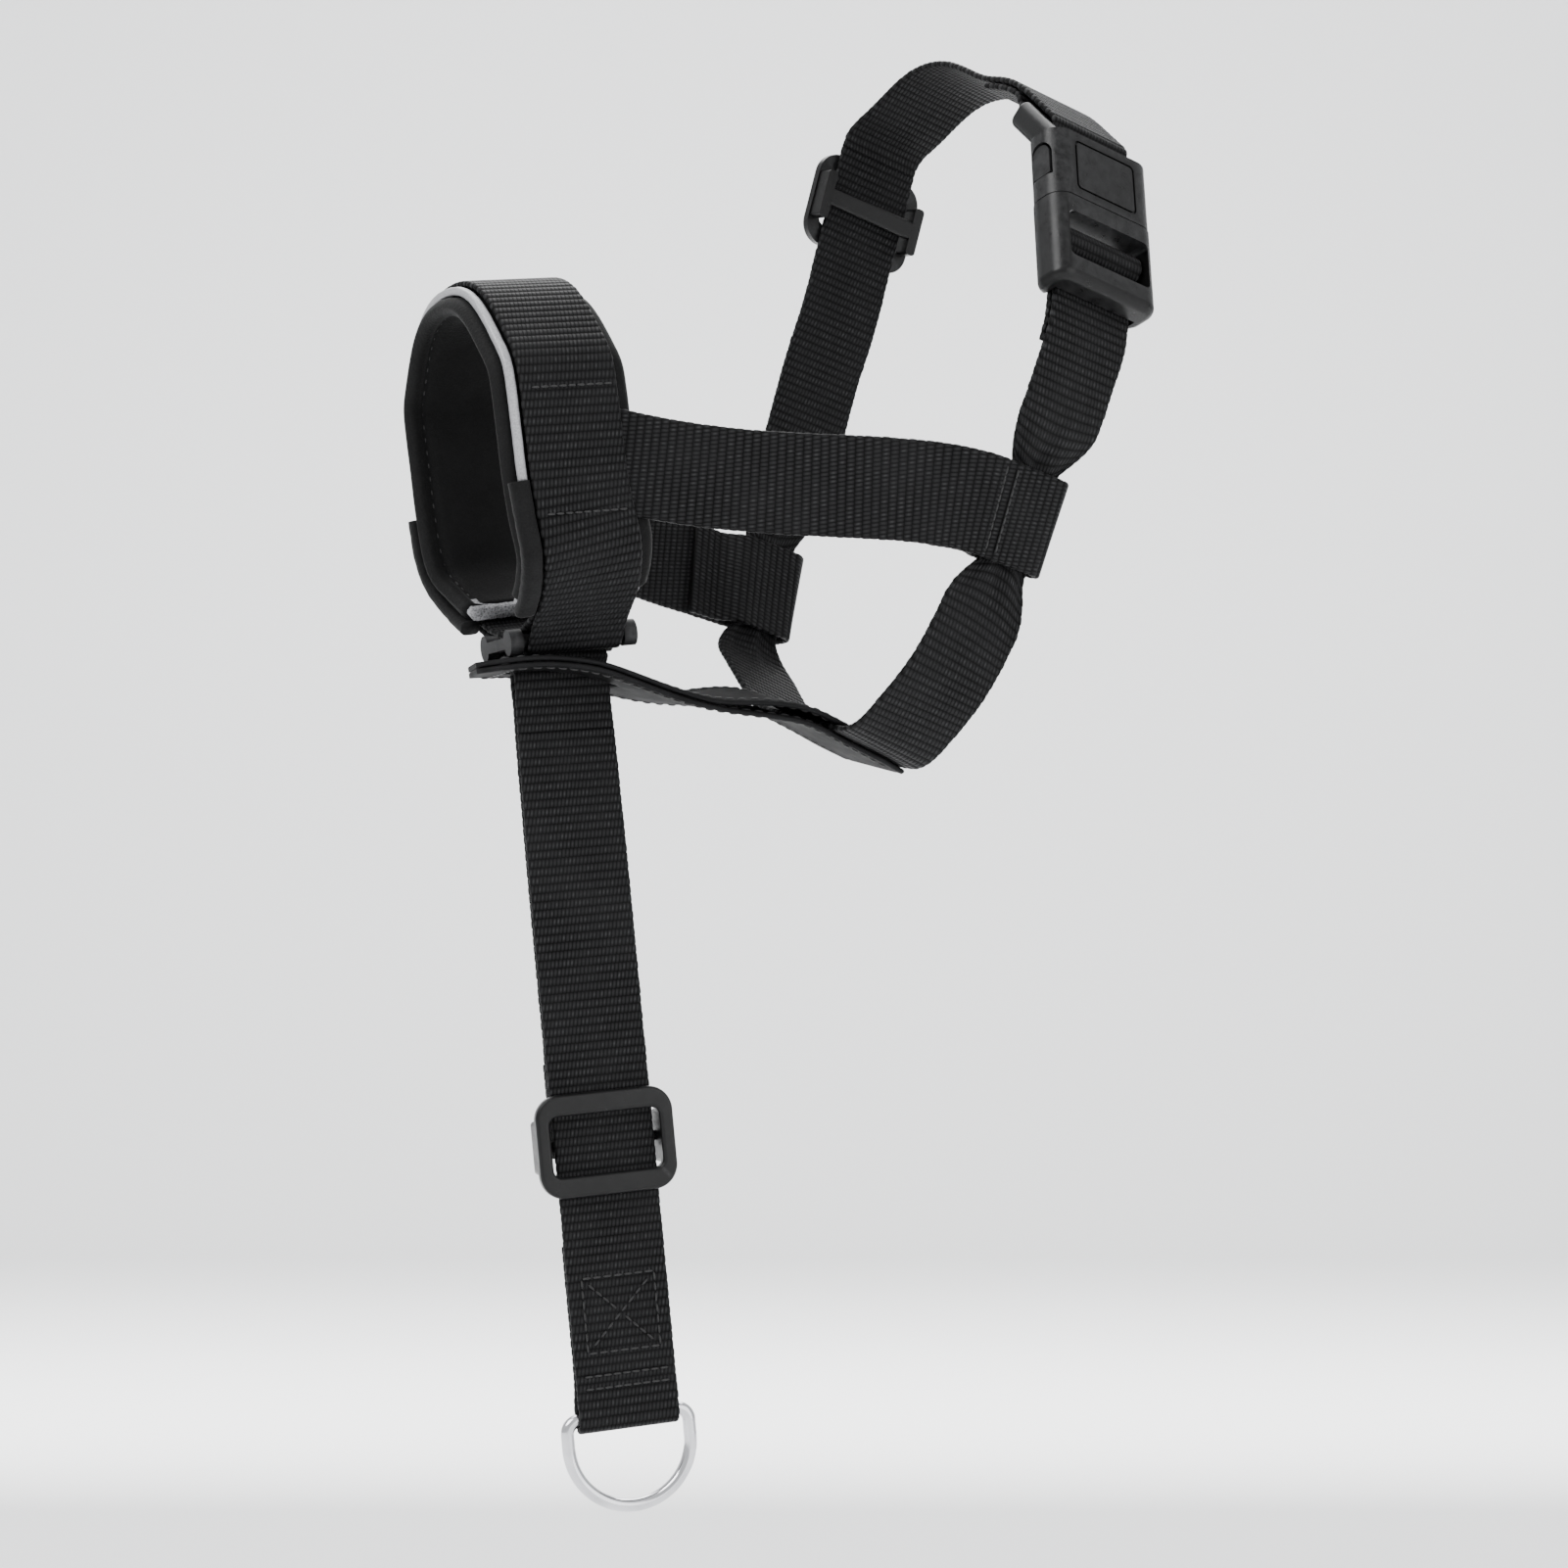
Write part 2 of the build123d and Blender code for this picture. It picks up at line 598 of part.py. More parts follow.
def leash_return_strap():
    """Back ply: from the link's bar to the slider, sewn round its centre bar."""
    points, sides = leash_upper(-1)
    ply = PLY_PITCH / 2
    at = LEASH_SLIDER_DOWN
    downs = [0.5] + [8.0 * i for i in range(1, 14)] + [at - 4]
    steps = [(down, -ply) for down in downs]
    fold = 2.2
    centre = -ply - fold
    for step in range(11):
        turn = math.radians(90 - 180 * step / 10)
        steps.append((at + fold * math.cos(turn), centre + fold * math.sin(turn)))
    steps += [(at - 5, -4.6), (at - 10, -3.1), (at - 14, -ply - PLY_PITCH), (at - 20, -ply - PLY_PITCH)]
    for down, out in steps:
        points.append(leash_point(down, out))
        sides.append(leash_side(down))
    return ribbon(points, sides)


def leash_plane(down, out):
    """Plane on the leash: X across, Y up the strap, Z out of its front face."""
    return Plane(origin=leash_point(down, out), x_dir=leash_side(down), z_dir=leash_out(down))


def leash_slider():
    """Slider of the leash strap, its outer bars in front."""
    ply = PLY_PITCH / 2
    centre = -ply - 2.2
    body = slider(centre - 1.2, centre + 1.2, 2.4, ply + 0.95, ply + 3.5)
    return leash_plane(LEASH_SLIDER_DOWN, 0) * body


def d_ring():
    """Welded wire ring: a straight bar in the fold and a round bow below it."""
    half = (RING_W - RING_WIRE) / 2
    drop = RING_H - RING_WIRE - half
    bar = Line((-half + 3, 0), (half - 3, 0))
    right = RadiusArc((half - 3, 0), (half, -3), 3)
    leg_right = Line((half, -3), (half, -drop))
    bow = ThreePointArc((half, -drop), (0, -drop - half), (-half, -drop))
    leg_left = Line((-half, -drop), (-half, -3))
    left = RadiusArc((-half, -3), (-half + 3, 0), 3)
    path = Wire([bar, right, leg_right, bow, leg_left, left])
    profile = Plane(origin=(0, 0, 0), x_dir=(0, 1, 0), z_dir=(1, 0, 0)) * Circle(RING_WIRE / 2)
    ring = sweep(profile, path)
    fold = RING_WIRE / 2 + FOLD_CLEAR + WEB_T / 2
    length = (LEASH_END - LEASH_TOP).length
    return leash_plane(length, PLY_PITCH / 2 - fold) * ring


# ------------------------------------------------------------------ stitching

def thread_row(plane, start, end, count, proud=0.35):
    """A row of stitches on a plane, between two flat points."""
    stitches = []
    a = Vector(*start)
    b = Vector(*end)
    turn = math.degrees(math.atan2(b.Y - a.Y, b.X - a.X))
    pitch = (b - a).length / count
    for i in range(count):
        at = a + (b - a) * ((i + 0.5) / count)
        stitch = Pos(at.X, at.Y, proud / 2) * Rot(0, 0, turn) * Box(pitch * 0.7, 0.5, proud)
        stitches.append(plane * stitch)
    return stitches


def tail_stitching():
    """Box-and-cross stitching above the ring, with two rows next to the fold."""
    length = (LEASH_END - LEASH_TOP).length
    plane = leash_plane(length - 25, PLY_PITCH / 2 + WEB_T / 2 + 0.05)
    half = BOX_STITCH / 2
    corners = [(-half, -half), (half, -half), (half, half), (-half, half)]
    rows = []
    for i in range(4):
        rows += thread_row(plane, corners[i], corners[(i + 1) % 4], 7)
    rows += thread_row(plane, (-half + 1.5, -half + 1.5), (half - 1.5, half - 1.5), 8)
    for low, high in ((-1, -0.12), (0.12, 1)):
        rows += thread_row(plane, (low * (half - 1.5), -low * (half - 1.5)), (high * (half - 1.5), -high * (half - 1.5)), 4)
    for y in (-14.5, -17.5):
        rows += thread_row(plane, (-10.5, y), (10.5, y), 9)
    return Compound(rows)


def nose_stitching():
    """Rows that close the folds of the nose strap, on the straight sides."""
    rows = []
    for side in (-1, 1):
        for height in (NOSE_SIDE_TOP - 1.0, NOSE_SIDE_LOW + 1.5):
            origin = on(NOSE, (side * (NOSE_HALF + WEB_T / 2 + 0.15), height))
            plane = Plane(origin=origin + NOSE_REAR * 0.5, x_dir=NOSE_REAR, z_dir=NOSE.x_dir * side)
            rows += thread_row(plane, (-10.5, 0), (10.5, 0), 9)
    return Compound(rows)


# ------------------------------------------------------------------ export

PARTS = {
    "nose_strap": nose_strap(),
    "nose_pad_backing": pad_layer(0, PAD_SKIN),
    "nose_pad_foam": pad_layer(PAD_SKIN + 0.1, PAD_FOAM),
    "nose_pad_lining": pad_layer(PAD_SKIN + PAD_FOAM + 0.2, PAD_SKIN),
    "reflective_piping": reflective_piping(),
    "pad_edge_cover_left": pad_edge_cover(1),
    "pad_edge_cover_right": pad_edge_cover(-1),
    "cheek_strap_left": cheek_strap(1),
    "cheek_strap_right": cheek_strap(-1),
    "neck_strap": neck_strap(),
    "crown_strap": crown_strap(),
    "neck_slider": neck_slider(),
    "buckle_socket": buckle_socket(),
    "buckle_plug": buckle_plug(),
    "latch_arm_front": latch_arm(-1),
    "latch_arm_rear": latch_arm(1),
    "chin_link": chin_link(),
    "chin_pad_upper": chin_pad(1),
    "chin_pad_lower": chin_pad(-1),
    "leash_strap": leash_strap(),
    "leash_return_strap": leash_return_strap(),
    "leash_slider": leash_slider(),
    "d_ring": d_ring(),
    "tail_stitching": tail_stitching(),
    "nose_stitching": nose_stitching(),
}

for name, shape in PARTS.items():
    export_step(shape, f"parts/{name}.step")
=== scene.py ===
"""Looks for the webbing head halter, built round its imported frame. Metres, +Z up, -Y to the dog's nose."""
import bpy
import json
import math
import numpy as np
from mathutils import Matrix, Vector

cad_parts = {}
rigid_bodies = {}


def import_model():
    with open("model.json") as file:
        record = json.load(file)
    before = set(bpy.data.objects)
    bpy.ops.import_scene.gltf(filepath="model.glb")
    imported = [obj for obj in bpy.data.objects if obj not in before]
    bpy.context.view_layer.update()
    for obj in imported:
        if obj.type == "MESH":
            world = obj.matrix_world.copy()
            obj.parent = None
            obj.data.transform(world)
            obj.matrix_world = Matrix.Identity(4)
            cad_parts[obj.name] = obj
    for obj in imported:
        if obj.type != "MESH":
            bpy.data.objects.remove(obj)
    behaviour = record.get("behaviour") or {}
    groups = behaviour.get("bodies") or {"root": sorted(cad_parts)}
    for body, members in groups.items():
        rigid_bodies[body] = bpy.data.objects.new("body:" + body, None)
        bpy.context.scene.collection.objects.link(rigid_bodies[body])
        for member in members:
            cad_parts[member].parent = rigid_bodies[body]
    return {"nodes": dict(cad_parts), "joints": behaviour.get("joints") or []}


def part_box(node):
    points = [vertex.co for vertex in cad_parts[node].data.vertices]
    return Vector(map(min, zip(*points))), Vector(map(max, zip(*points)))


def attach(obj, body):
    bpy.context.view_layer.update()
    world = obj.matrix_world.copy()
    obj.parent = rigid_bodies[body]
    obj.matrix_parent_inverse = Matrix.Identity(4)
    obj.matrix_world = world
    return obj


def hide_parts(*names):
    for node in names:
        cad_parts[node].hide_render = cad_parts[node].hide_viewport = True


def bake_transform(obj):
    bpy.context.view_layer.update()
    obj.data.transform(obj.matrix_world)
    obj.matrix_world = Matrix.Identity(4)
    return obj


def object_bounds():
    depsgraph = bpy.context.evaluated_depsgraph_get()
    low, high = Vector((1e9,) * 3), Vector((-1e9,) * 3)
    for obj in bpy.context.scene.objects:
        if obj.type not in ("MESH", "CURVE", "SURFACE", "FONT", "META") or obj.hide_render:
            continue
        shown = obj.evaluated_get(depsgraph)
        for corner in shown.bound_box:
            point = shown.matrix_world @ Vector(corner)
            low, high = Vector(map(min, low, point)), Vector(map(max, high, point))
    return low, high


for left_over in list(bpy.data.objects):
    bpy.data.objects.remove(left_over)
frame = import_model()
cad_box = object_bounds()
nodes = frame["nodes"]
MM = 0.001
SHARP = math.radians(40)               # edges turning more than this are a strap's corners
MERGE = 0.002 * MM                     # corners nearer than this are one
FORK_TURN = 0.3                        # cosine of the sharpest turn followed at a fork
NEAR_STEPS = 2000
ROW_PHASES = (0.0, 0.2, 0.5, 0.8)      # rows of points within one rib of the webbing
ROW_HEIGHTS = (0.0, 0.82, 1.0, 0.82)   # and how high each stands


# ---------------------------------------------------------------- straps from the frame

def merged_mesh(node):
    """Merged corners, triangles and triangle normals of a frame node."""
    mesh = nodes[node].data
    raw = np.array([v.co for v in mesh.vertices], float)
    keys, index = np.unique(np.round(raw / MERGE).astype(int), axis=0, return_inverse=True)
    index = index.reshape(-1)
    points = np.zeros((len(keys), 3))
    points[index] = raw
    faces = []
    for poly in mesh.polygons:
        ids = [index[i] for i in poly.vertices]
        if len(set(ids)) >= 3:
            faces.append(ids)
    normals = []
    for ids in faces:
        n = np.cross(points[ids[1]] - points[ids[0]], points[ids[2]] - points[ids[0]])
        normals.append(n / max(np.linalg.norm(n), 1e-15))
    return points, faces, np.array(normals)


def sharp_graph(points, faces, normals):
    """Neighbours of each corner along the edges where two faces meet sharply."""
    edges = {}
    for f, ids in enumerate(faces):
        for a, b in zip(ids, ids[1:] + ids[:1]):
            edges.setdefault((min(a, b), max(a, b)), []).append(f)
    graph = {}
    for (a, b), fs in edges.items():
        if len(fs) == 2 and normals[fs[0]] @ normals[fs[1]] < math.cos(SHARP):
            graph.setdefault(a, set()).add(b)
            graph.setdefault(b, set()).add(a)
    return graph


def walk(points, graph, start, step):
    """Follows sharp edges from a corner, straight on at each fork, to where they stop."""
    path = [start, step]
    seen = {start, step}
    while True:
        ahead = points[path[-1]] - points[path[-2]]
        ahead /= np.linalg.norm(ahead)
        choices = []
        for n in graph[path[-1]] - seen:
            d = points[n] - points[path[-1]]
            choices.append((d @ ahead / np.linalg.norm(d), n))
        if not choices:
            return path
        best, onward = max(choices)
        if len(choices) > 1 and best < FORK_TURN:
            return path
        path.append(onward)
        seen.add(onward)


def strap_lines(node):
    """The four long edges of a strap, as arrays of points with matching rows."""
    points, faces, normals = merged_mesh(node)
    graph = sharp_graph(points, faces, normals)
    found = {}
    for start in sorted(graph):
        if len(graph[start]) < 3:
            continue
        for step in sorted(graph[start]):
            path = walk(points, graph, start, step)
            found[frozenset((path[0], path[-1]))] = path
    longest = max(len(p) for p in found.values())
    lines = [points[p] for p in found.values() if len(p) == longest]
    if len(lines) == 2:                # a rounded tip joins the edges in pairs
        half = longest // 2
        lines = [p for line in lines for p in (line[:half], line[::-1][:half])]
    if len(lines) != 4:
        raise RuntimeError(f"{node}: found {len(lines)} long edges")
    return lines


def unit(v):
    """Rows of an array scaled to length one."""
    return v / np.maximum(np.linalg.norm(v, axis=-1, keepdims=True), 1e-12)


class Strap:
    """Centre line, width direction, width and thickness of a strap along its length."""

    def __init__(self, centre, side, width, thick):
        self.centre = np.array(centre, float)
        self.side = unit(np.array(side, float))
        self.width = np.array(width, float)
        self.thick = thick
        steps = np.linalg.norm(np.diff(self.centre, axis=0), axis=1)
        self.s = np.concatenate([[0], np.cumsum(np.maximum(steps, 1e-9))])
        self.length = self.s[-1]
        self.slope = np.gradient(self.centre, self.s, axis=0)

    def at(self, s):
        """Centre, width direction, normal, width and direction along, at distances s."""
        asked = np.asarray(s, float)
        s = np.clip(asked, 0, self.length)
        k = np.clip(np.searchsorted(self.s, s, side="right") - 1, 0, len(self.s) - 2)
        h = (self.s[k + 1] - self.s[k])[:, None]
        t = (s - self.s[k])[:, None] / h
        p0, p1 = self.centre[k], self.centre[k + 1]
        m0, m1 = self.slope[k] * h, self.slope[k + 1] * h
        t2, t3 = t * t, t * t * t
        c = (2 * t3 - 3 * t2 + 1) * p0 + (t3 - 2 * t2 + t) * m0
        c = c + (3 * t2 - 2 * t3) * p1 + (t3 - t2) * m1
        along = unit((1 - t) * self.slope[k] + t * self.slope[k + 1])
        c = c + along * (asked - s)[:, None]
        side = (1 - t) * self.side[k] + t * self.side[k + 1]
        side = unit(side - along * np.sum(side * along, axis=1, keepdims=True))
        width = (1 - t[:, 0]) * self.width[k] + t[:, 0] * self.width[k + 1]
        return c, side, np.cross(along, side), width, along

    def near(self, point):
        """Distance along the strap of the place nearest a point."""
        c = self.at(np.linspace(0, self.length, NEAR_STEPS))[0]
        return self.length * np.argmin(np.linalg.norm(c - np.array(point), axis=1)) / (NEAR_STEPS - 1)


def strap_of(node):
    """The strap a frame node holds."""
    lines = strap_lines(node)
    first = lines[0]
    turned = [first]
    for line in lines[1:]:
        if np.linalg.norm(line[-1] - first[0]) < np.linalg.norm(line[0] - first[0]):
            line = line[::-1]
        turned.append(line)
    gaps = [np.mean(np.linalg.norm(line - first, axis=1)) for line in turned[1:]]
    mate = 1 + int(np.argmin(gaps))
    others = [turned[i] for i in (1, 2, 3) if i != mate]
    a = (first + turned[mate]) / 2
    b = (others[0] + others[1]) / 2
    return Strap((a + b) / 2, b - a, np.linalg.norm(b - a, axis=1), min(gaps))


# ---------------------------------------------------------------- mesh helpers

def signed_volume(verts, faces):
    """Volume inside closed faces, negative when they face inward."""
    points = np.asarray(verts, float)
    total = 0.0
    for face in faces:
        for i in range(1, len(face) - 1):
            total += points[face[0]] @ np.cross(points[face[i]], points[face[i + 1]])
    return total / 6


def new_mesh(name, verts, faces, uvs=None):
    """Object from points and faces turned outward, with a texture coordinate for each point."""
    if signed_volume(verts, faces) < 0:
        faces = [face[::-1] for face in faces]
    mesh = bpy.data.meshes.new(name)
    mesh.from_pydata([tuple(v) for v in verts], [], [tuple(int(i) for i in f) for f in faces])
    if uvs is not None:
        layer = mesh.uv_layers.new(name="UVMap")
        index = np.zeros(len(mesh.loops), int)
        mesh.loops.foreach_get("vertex_index", index)
        layer.data.foreach_set("uv", np.asarray(uvs, float)[index].ravel())
    for poly in mesh.polygons:
        poly.use_smooth = True
    mesh.update()
    obj = bpy.data.objects.new(name, mesh)
    bpy.context.scene.collection.objects.link(obj)
    return obj


def loft_faces(rows, cols):
    """Faces between rings of points, with a cap at each end."""
    faces = []
    for i in range(rows - 1):
        for j in range(cols):
            k = (j + 1) % cols
            faces.append((i * cols + j, i * cols + k, (i + 1) * cols + k, (i + 1) * cols + j))
    faces.append(tuple(range(cols))[::-1])
    faces.append(tuple((rows - 1) * cols + j for j in range(cols)))
    return faces


def loft(name, grid, uvs=None):
    """Closed object from a grid of points, one row for each ring."""
    rows, cols, _ = grid.shape
    return new_mesh(name, grid.reshape(-1, 3), loft_faces(rows, cols), uvs)


def smooth_step(x):
    """Eases from 0 to 1."""
    x = np.clip(x, 0, 1)
    return x * x * (3 - 2 * x)


def finish_piece(obj, material, body=None, bend=None, nodes_stood_for=()):
    """Gives a piece its material, slot, body and the frame nodes it stands for."""
    obj.data.materials.clear()
    obj.data.materials.append(material)
    if body:
        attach(obj, body)
    if bend:
        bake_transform(obj)
    if nodes_stood_for:
        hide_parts(*nodes_stood_for)


# ---------------------------------------------------------------- webbing

RIB = 2.05 * MM                        # pitch of the ribs
RIB_DEPTH = 0.17 * MM
EDGE_WAVE = 0.28 * MM                  # how far the edges draw in between ribs
UNEVEN = 0.035 * MM                    # spread of one rib against the next
COLUMNS = 21
NARROW = 14 * MM                       # widths between which the section is scaled
WEB_WIDE = 25 * MM
WEB_THICK = 1.6 * MM


def section_of(width, thick):
    """Cross-section of webbing as across and up positions, rounded at both edges."""
    half = width / 2
    r = thick * 0.42
    flat = np.linspace(-(half - r), half - r, COLUMNS)
    top = [(x, thick / 2, 1) for x in flat]
    right = [(half - r + r * math.cos(t), thick / 2 * math.sin(t), 0) for t in (1.0, 0.35, -0.35, -1.0)]
    bottom = [(x, -thick / 2, -1) for x in flat[::-1]]
    left = [(-x, -y, 0) for x, y, _ in right]
    return np.array(top + right + bottom + left)


def webbing(name, strap, start=0.0, end=None, rib=RIB, wrinkle=None, seed=1):
    """Ribbed webbing along a strap between two distances; wrinkle adds pleats."""
    rng = np.random.default_rng(seed)
    end = strap.length if end is None else end
    ribs = max(2, int(round((end - start) / rib)))
    pitch = (end - start) / ribs
    turns = [(k + p, h) for k in range(ribs) for p, h in zip(ROW_PHASES, ROW_HEIGHTS)] + [(ribs, 0.0)]
    u = np.array([t[0] for t in turns])
    high = np.array([t[1] for t in turns])
    s = start + u * pitch
    width_here = strap.at(s)[3]
    narrow, wide = section_of(NARROW, strap.thick), section_of(WEB_WIDE, strap.thick)
    rows, cols = len(s), len(wide)
    jitter = np.repeat(rng.normal(0, UNEVEN, ribs + 1), len(ROW_PHASES))[:rows]
    share = (width_here - NARROW) / (WEB_WIDE - NARROW)
    groove = (1 - high) * RIB_DEPTH
    verts = np.zeros((rows, cols, 3))
    uvs = np.zeros((rows, cols, 2))
    for j in range(cols):
        across = narrow[j, 0] + (wide[j, 0] - narrow[j, 0]) * share
        _, up, face = narrow[j]
        if face == 0:
            across = across - np.sign(across) * ((1 - high) * EDGE_WAVE * 0.5 + jitter)
            y = up * (1 - 0.12 * (1 - high))
        else:
            y = face * (strap.thick / 2 - groove + 0.4 * jitter)
        shift_s = np.zeros(rows)
        shift_y = np.zeros(rows)
        if wrinkle is not None:
            shift_s, shift_y = wrinkle(s, across / (width_here / 2))
        c, side, normal, _, _ = strap.at(s + shift_s)
        verts[:, j] = c + side * across[:, None] + normal * (y + shift_y)[:, None]
        uvs[:, j, 0] = u
        uvs[:, j, 1] = across / MM * (WEB_WIDE / width_here) + (0 if face >= 0 else 0.5)
    return loft(name, verts, uvs.reshape(-1, 2))


# ---------------------------------------------------------------- stitches

# Rings of one stitch: place along it, thickness and rise, as shares of its length and thickness.
STITCH_RINGS = ((-0.5, 0.25, -0.5), (-0.38, 0.8, 0.0), (-0.15, 1.0, 0.25),
                (0.15, 1.0, 0.25), (0.38, 0.8, 0.0), (0.5, 0.25, -0.5))
STITCH_SIDES = 8


def stitch_mesh(name, places, long=2.4 * MM, thick=0.55 * MM):
    """Thread stitches: each place is a centre, a direction along it and a normal."""
    sides = STITCH_SIDES
    verts, faces, uvs = [], [], []
    for centre, along, normal in places:
        across = np.cross(normal, along)
        base = len(verts)
        for x, size, rise in STITCH_RINGS:
            for k in range(sides):
                a = 2 * math.pi * k / sides
                height = rise * thick * 0.5 + 0.5 * thick * size * math.sin(a)
                p = centre + along * (x * long) + normal * height
                verts.append(p + across * (0.5 * thick * size * math.cos(a)))
                uvs.append((x * long / MM, k / sides))
        faces += [tuple(base + i for i in face) for face in loft_faces(len(STITCH_RINGS), sides)]
    return new_mesh(name, verts, faces, uvs)


def row_on(strap, a, b, pitch, face=1, proud=0.0):
    """Stitch places on a strap's face between two (distance, across) positions."""
    (s0, a0), (s1, a1) = a, b
    span = math.hypot(s1 - s0, a1 - a0)
    count = max(1, int(round(span / pitch)))
    share = (np.arange(count) + 0.5) / count
    c, side, normal, _, along = strap.at(s0 + (s1 - s0) * share)
    across = a0 + (a1 - a0) * share
    normal = normal * face
    points = c + side * across[:, None] + normal * (strap.thick / 2 + proud)
    heading = unit(along * (s1 - s0) + side * (a1 - a0))
    return [(p, h, n) for p, h, n in zip(points, heading, normal)]


def stitch_places(node):
    """Centre, direction and normal of each small block of a stitching node."""
    points, faces, _ = merged_mesh(node)
    parent = list(range(len(points)))

    def find(i):
        while parent[i] != i:
            parent[i] = parent[parent[i]]
            i = parent[i]
        return i

    for ids in faces:
        for i in ids[1:]:
            parent[find(i)] = find(ids[0])
    groups = {}
    for i in range(len(points)):
        groups.setdefault(find(i), []).append(i)
    places = []
    for ids in groups.values():
        block = points[ids]
        centre = block.mean(0)
        _, _, axes = np.linalg.svd(block - centre)
        places.append((centre, axes[0], axes[2]))
    return places


# ---------------------------------------------------------------- materials

class Nodes:
    """Short way to build a material's nodes."""

    def __init__(self, name):
        self.material = bpy.data.materials.new(name)
        self.material.use_nodes = True
        self.tree = self.material.node_tree
        self.shader = self.tree.nodes["Principled BSDF"]

    def put(self, socket, value):
        """Sets an input to a number, a colour or another node's output."""
        if isinstance(value, bpy.types.NodeSocket):
            self.tree.links.new(value, socket)
        else:
            socket.default_value = value

    def node(self, kind, out=0, settings=None, **inputs):
        """Adds a node; inputs are named with _ for a space, or by number as i0, i1."""
        made = self.tree.nodes.new(kind)
        for key, value in (settings or {}).items():
            setattr(made, key, value)
        for key, value in inputs.items():
            index = int(key[1:]) if key[0] == "i" and key[1:].isdigit() else key.replace("_", " ")
            self.put(made.inputs[index], value)
        return made.outputs[out]

    def math(self, op, a, b=0.0):
        """A math node."""
        return self.node("ShaderNodeMath", settings={"operation": op}, i0=a, i1=b)

    def times(self, a, b):
        """Product of two values."""
        return self.math("MULTIPLY", a, b)

    def plus(self, a, b):
        """Sum of two values."""
        return self.math("ADD", a, b)

    def wave(self, value):
        """Rises and falls once for each whole number."""
        return self.math("SINE", self.times(value, math.pi))

    def noise(self, coordinate, scale, detail=3.0, rough=0.55):
        """Noise between 0 and 1."""
        return self.node("ShaderNodeTexNoise", Vector=coordinate, Scale=scale, Detail=detail,
                         Roughness=rough)

    def cells(self, coordinate, scale):
        """Distance to the nearest of scattered points."""
        return self.node("ShaderNodeTexVoronoi", Vector=coordinate, Scale=scale)

    def edge_sharpness(self):
        """How sharply a surface turns, above one half on outer edges."""
        return self.node("ShaderNodeNewGeometry", out=7)

    def mapping(self):
        """The two texture coordinates of a surface."""
        parts = self.tree.nodes.new("ShaderNodeSeparateXYZ")
        self.put(parts.inputs[0], self.node("ShaderNodeUVMap"))
        return parts.outputs[0], parts.outputs[1]

    def ramp(self, value, low, high, a=0.0, b=1.0):
        """Maps a range of values to another, clamped."""
        return self.node("ShaderNodeMapRange", i0=value, i1=low, i2=high, i3=a, i4=b)

    def blend(self, share, a, b):
        """Mix of two colours."""
        made = self.tree.nodes.new("ShaderNodeMix")
        made.data_type = "RGBA"
        self.put(made.inputs[0], share)
        self.put(made.inputs[6], a)
        self.put(made.inputs[7], b)
        return made.outputs[2]

    def place(self):
        """Coordinates in the frame, in metres."""
        return self.node("ShaderNodeTexCoord", out=3)

    def bump(self, height, distance, strength=1.0, under=None):
        """Bump of a given depth, over another if one is given."""
        extra = {"Normal": under} if under is not None else {}
        return self.node("ShaderNodeBump", Height=height, Distance=distance, Strength=strength,
                         **extra)

    def surface(self, **inputs):
        """Sets the shader's inputs."""
        for key, value in inputs.items():
            self.put(self.shader.inputs[key.replace("_", " ")], value)
        return self.material


def grey(level):
    """A neutral colour with a faint cool cast."""
    return (level, level, level * 1.04, 1)


def webbing_material(name, dark=0.0006, light=0.017, yarn_pitch=1.05, painted_glint_grey=0.05):
    """Ribbed nylon webbing: yarns crossing each rib, painted shade in the grooves, painted highlight on the
    crowns and painted glints where the yarns would catch light.
    """
    n = Nodes(name)
    u, v = n.mapping()
    rib = n.math("FLOOR", u)
    phase = n.math("FRACT", u)
    hump = n.math("POWER", n.wave(phase), 0.6)
    offset = n.times(n.math("MODULO", rib, 2.0), 0.5)
    skew = n.times(phase, 0.35)
    along = n.plus(n.plus(n.math("DIVIDE", v, yarn_pitch), offset), skew)
    yarn = n.math("ABSOLUTE", n.wave(along))
    crown = n.times(n.math("POWER", yarn, 0.7), hump)
    place = n.place()
    fibre = n.noise(place, 5200.0, 2.0, 0.7)
    patch = n.noise(place, 60.0, 3.0)
    height = n.plus(n.times(crown, 0.8), n.times(fibre, 0.22))
    cell = n.node("ShaderNodeCombineXYZ", i0=rib, i1=n.math("FLOOR", along), i2=0.0)
    chance = n.node("ShaderNodeTexWhiteNoise", Vector=cell)
    # painted glints: a random share of the yarn crowns is lightened as if catching light
    painted_glint = n.times(n.ramp(crown, 0.72, 0.98), n.ramp(chance, 0.45, 0.95))
    # painted shade and highlight: colour follows the crowns' height, dark in the grooves and light on the
    # crowns
    tone = n.blend(n.ramp(crown, 0.1, 0.95), grey(dark), grey(light))
    tone = n.blend(n.times(painted_glint, 0.45), tone, grey(painted_glint_grey))
    tone = n.blend(n.ramp(patch, 0.35, 0.7, 0.0, 0.25), tone, grey(light * 1.1))
    rough = n.ramp(fibre, 0.3, 0.8, 0.42, 0.62)
    return n.surface(Base_Color=tone, Roughness=rough, Specular_IOR_Level=0.06,
                     Sheen_Weight=0.012, Sheen_Roughness=0.4, Normal=n.bump(height, 0.22 * MM, 0.9))


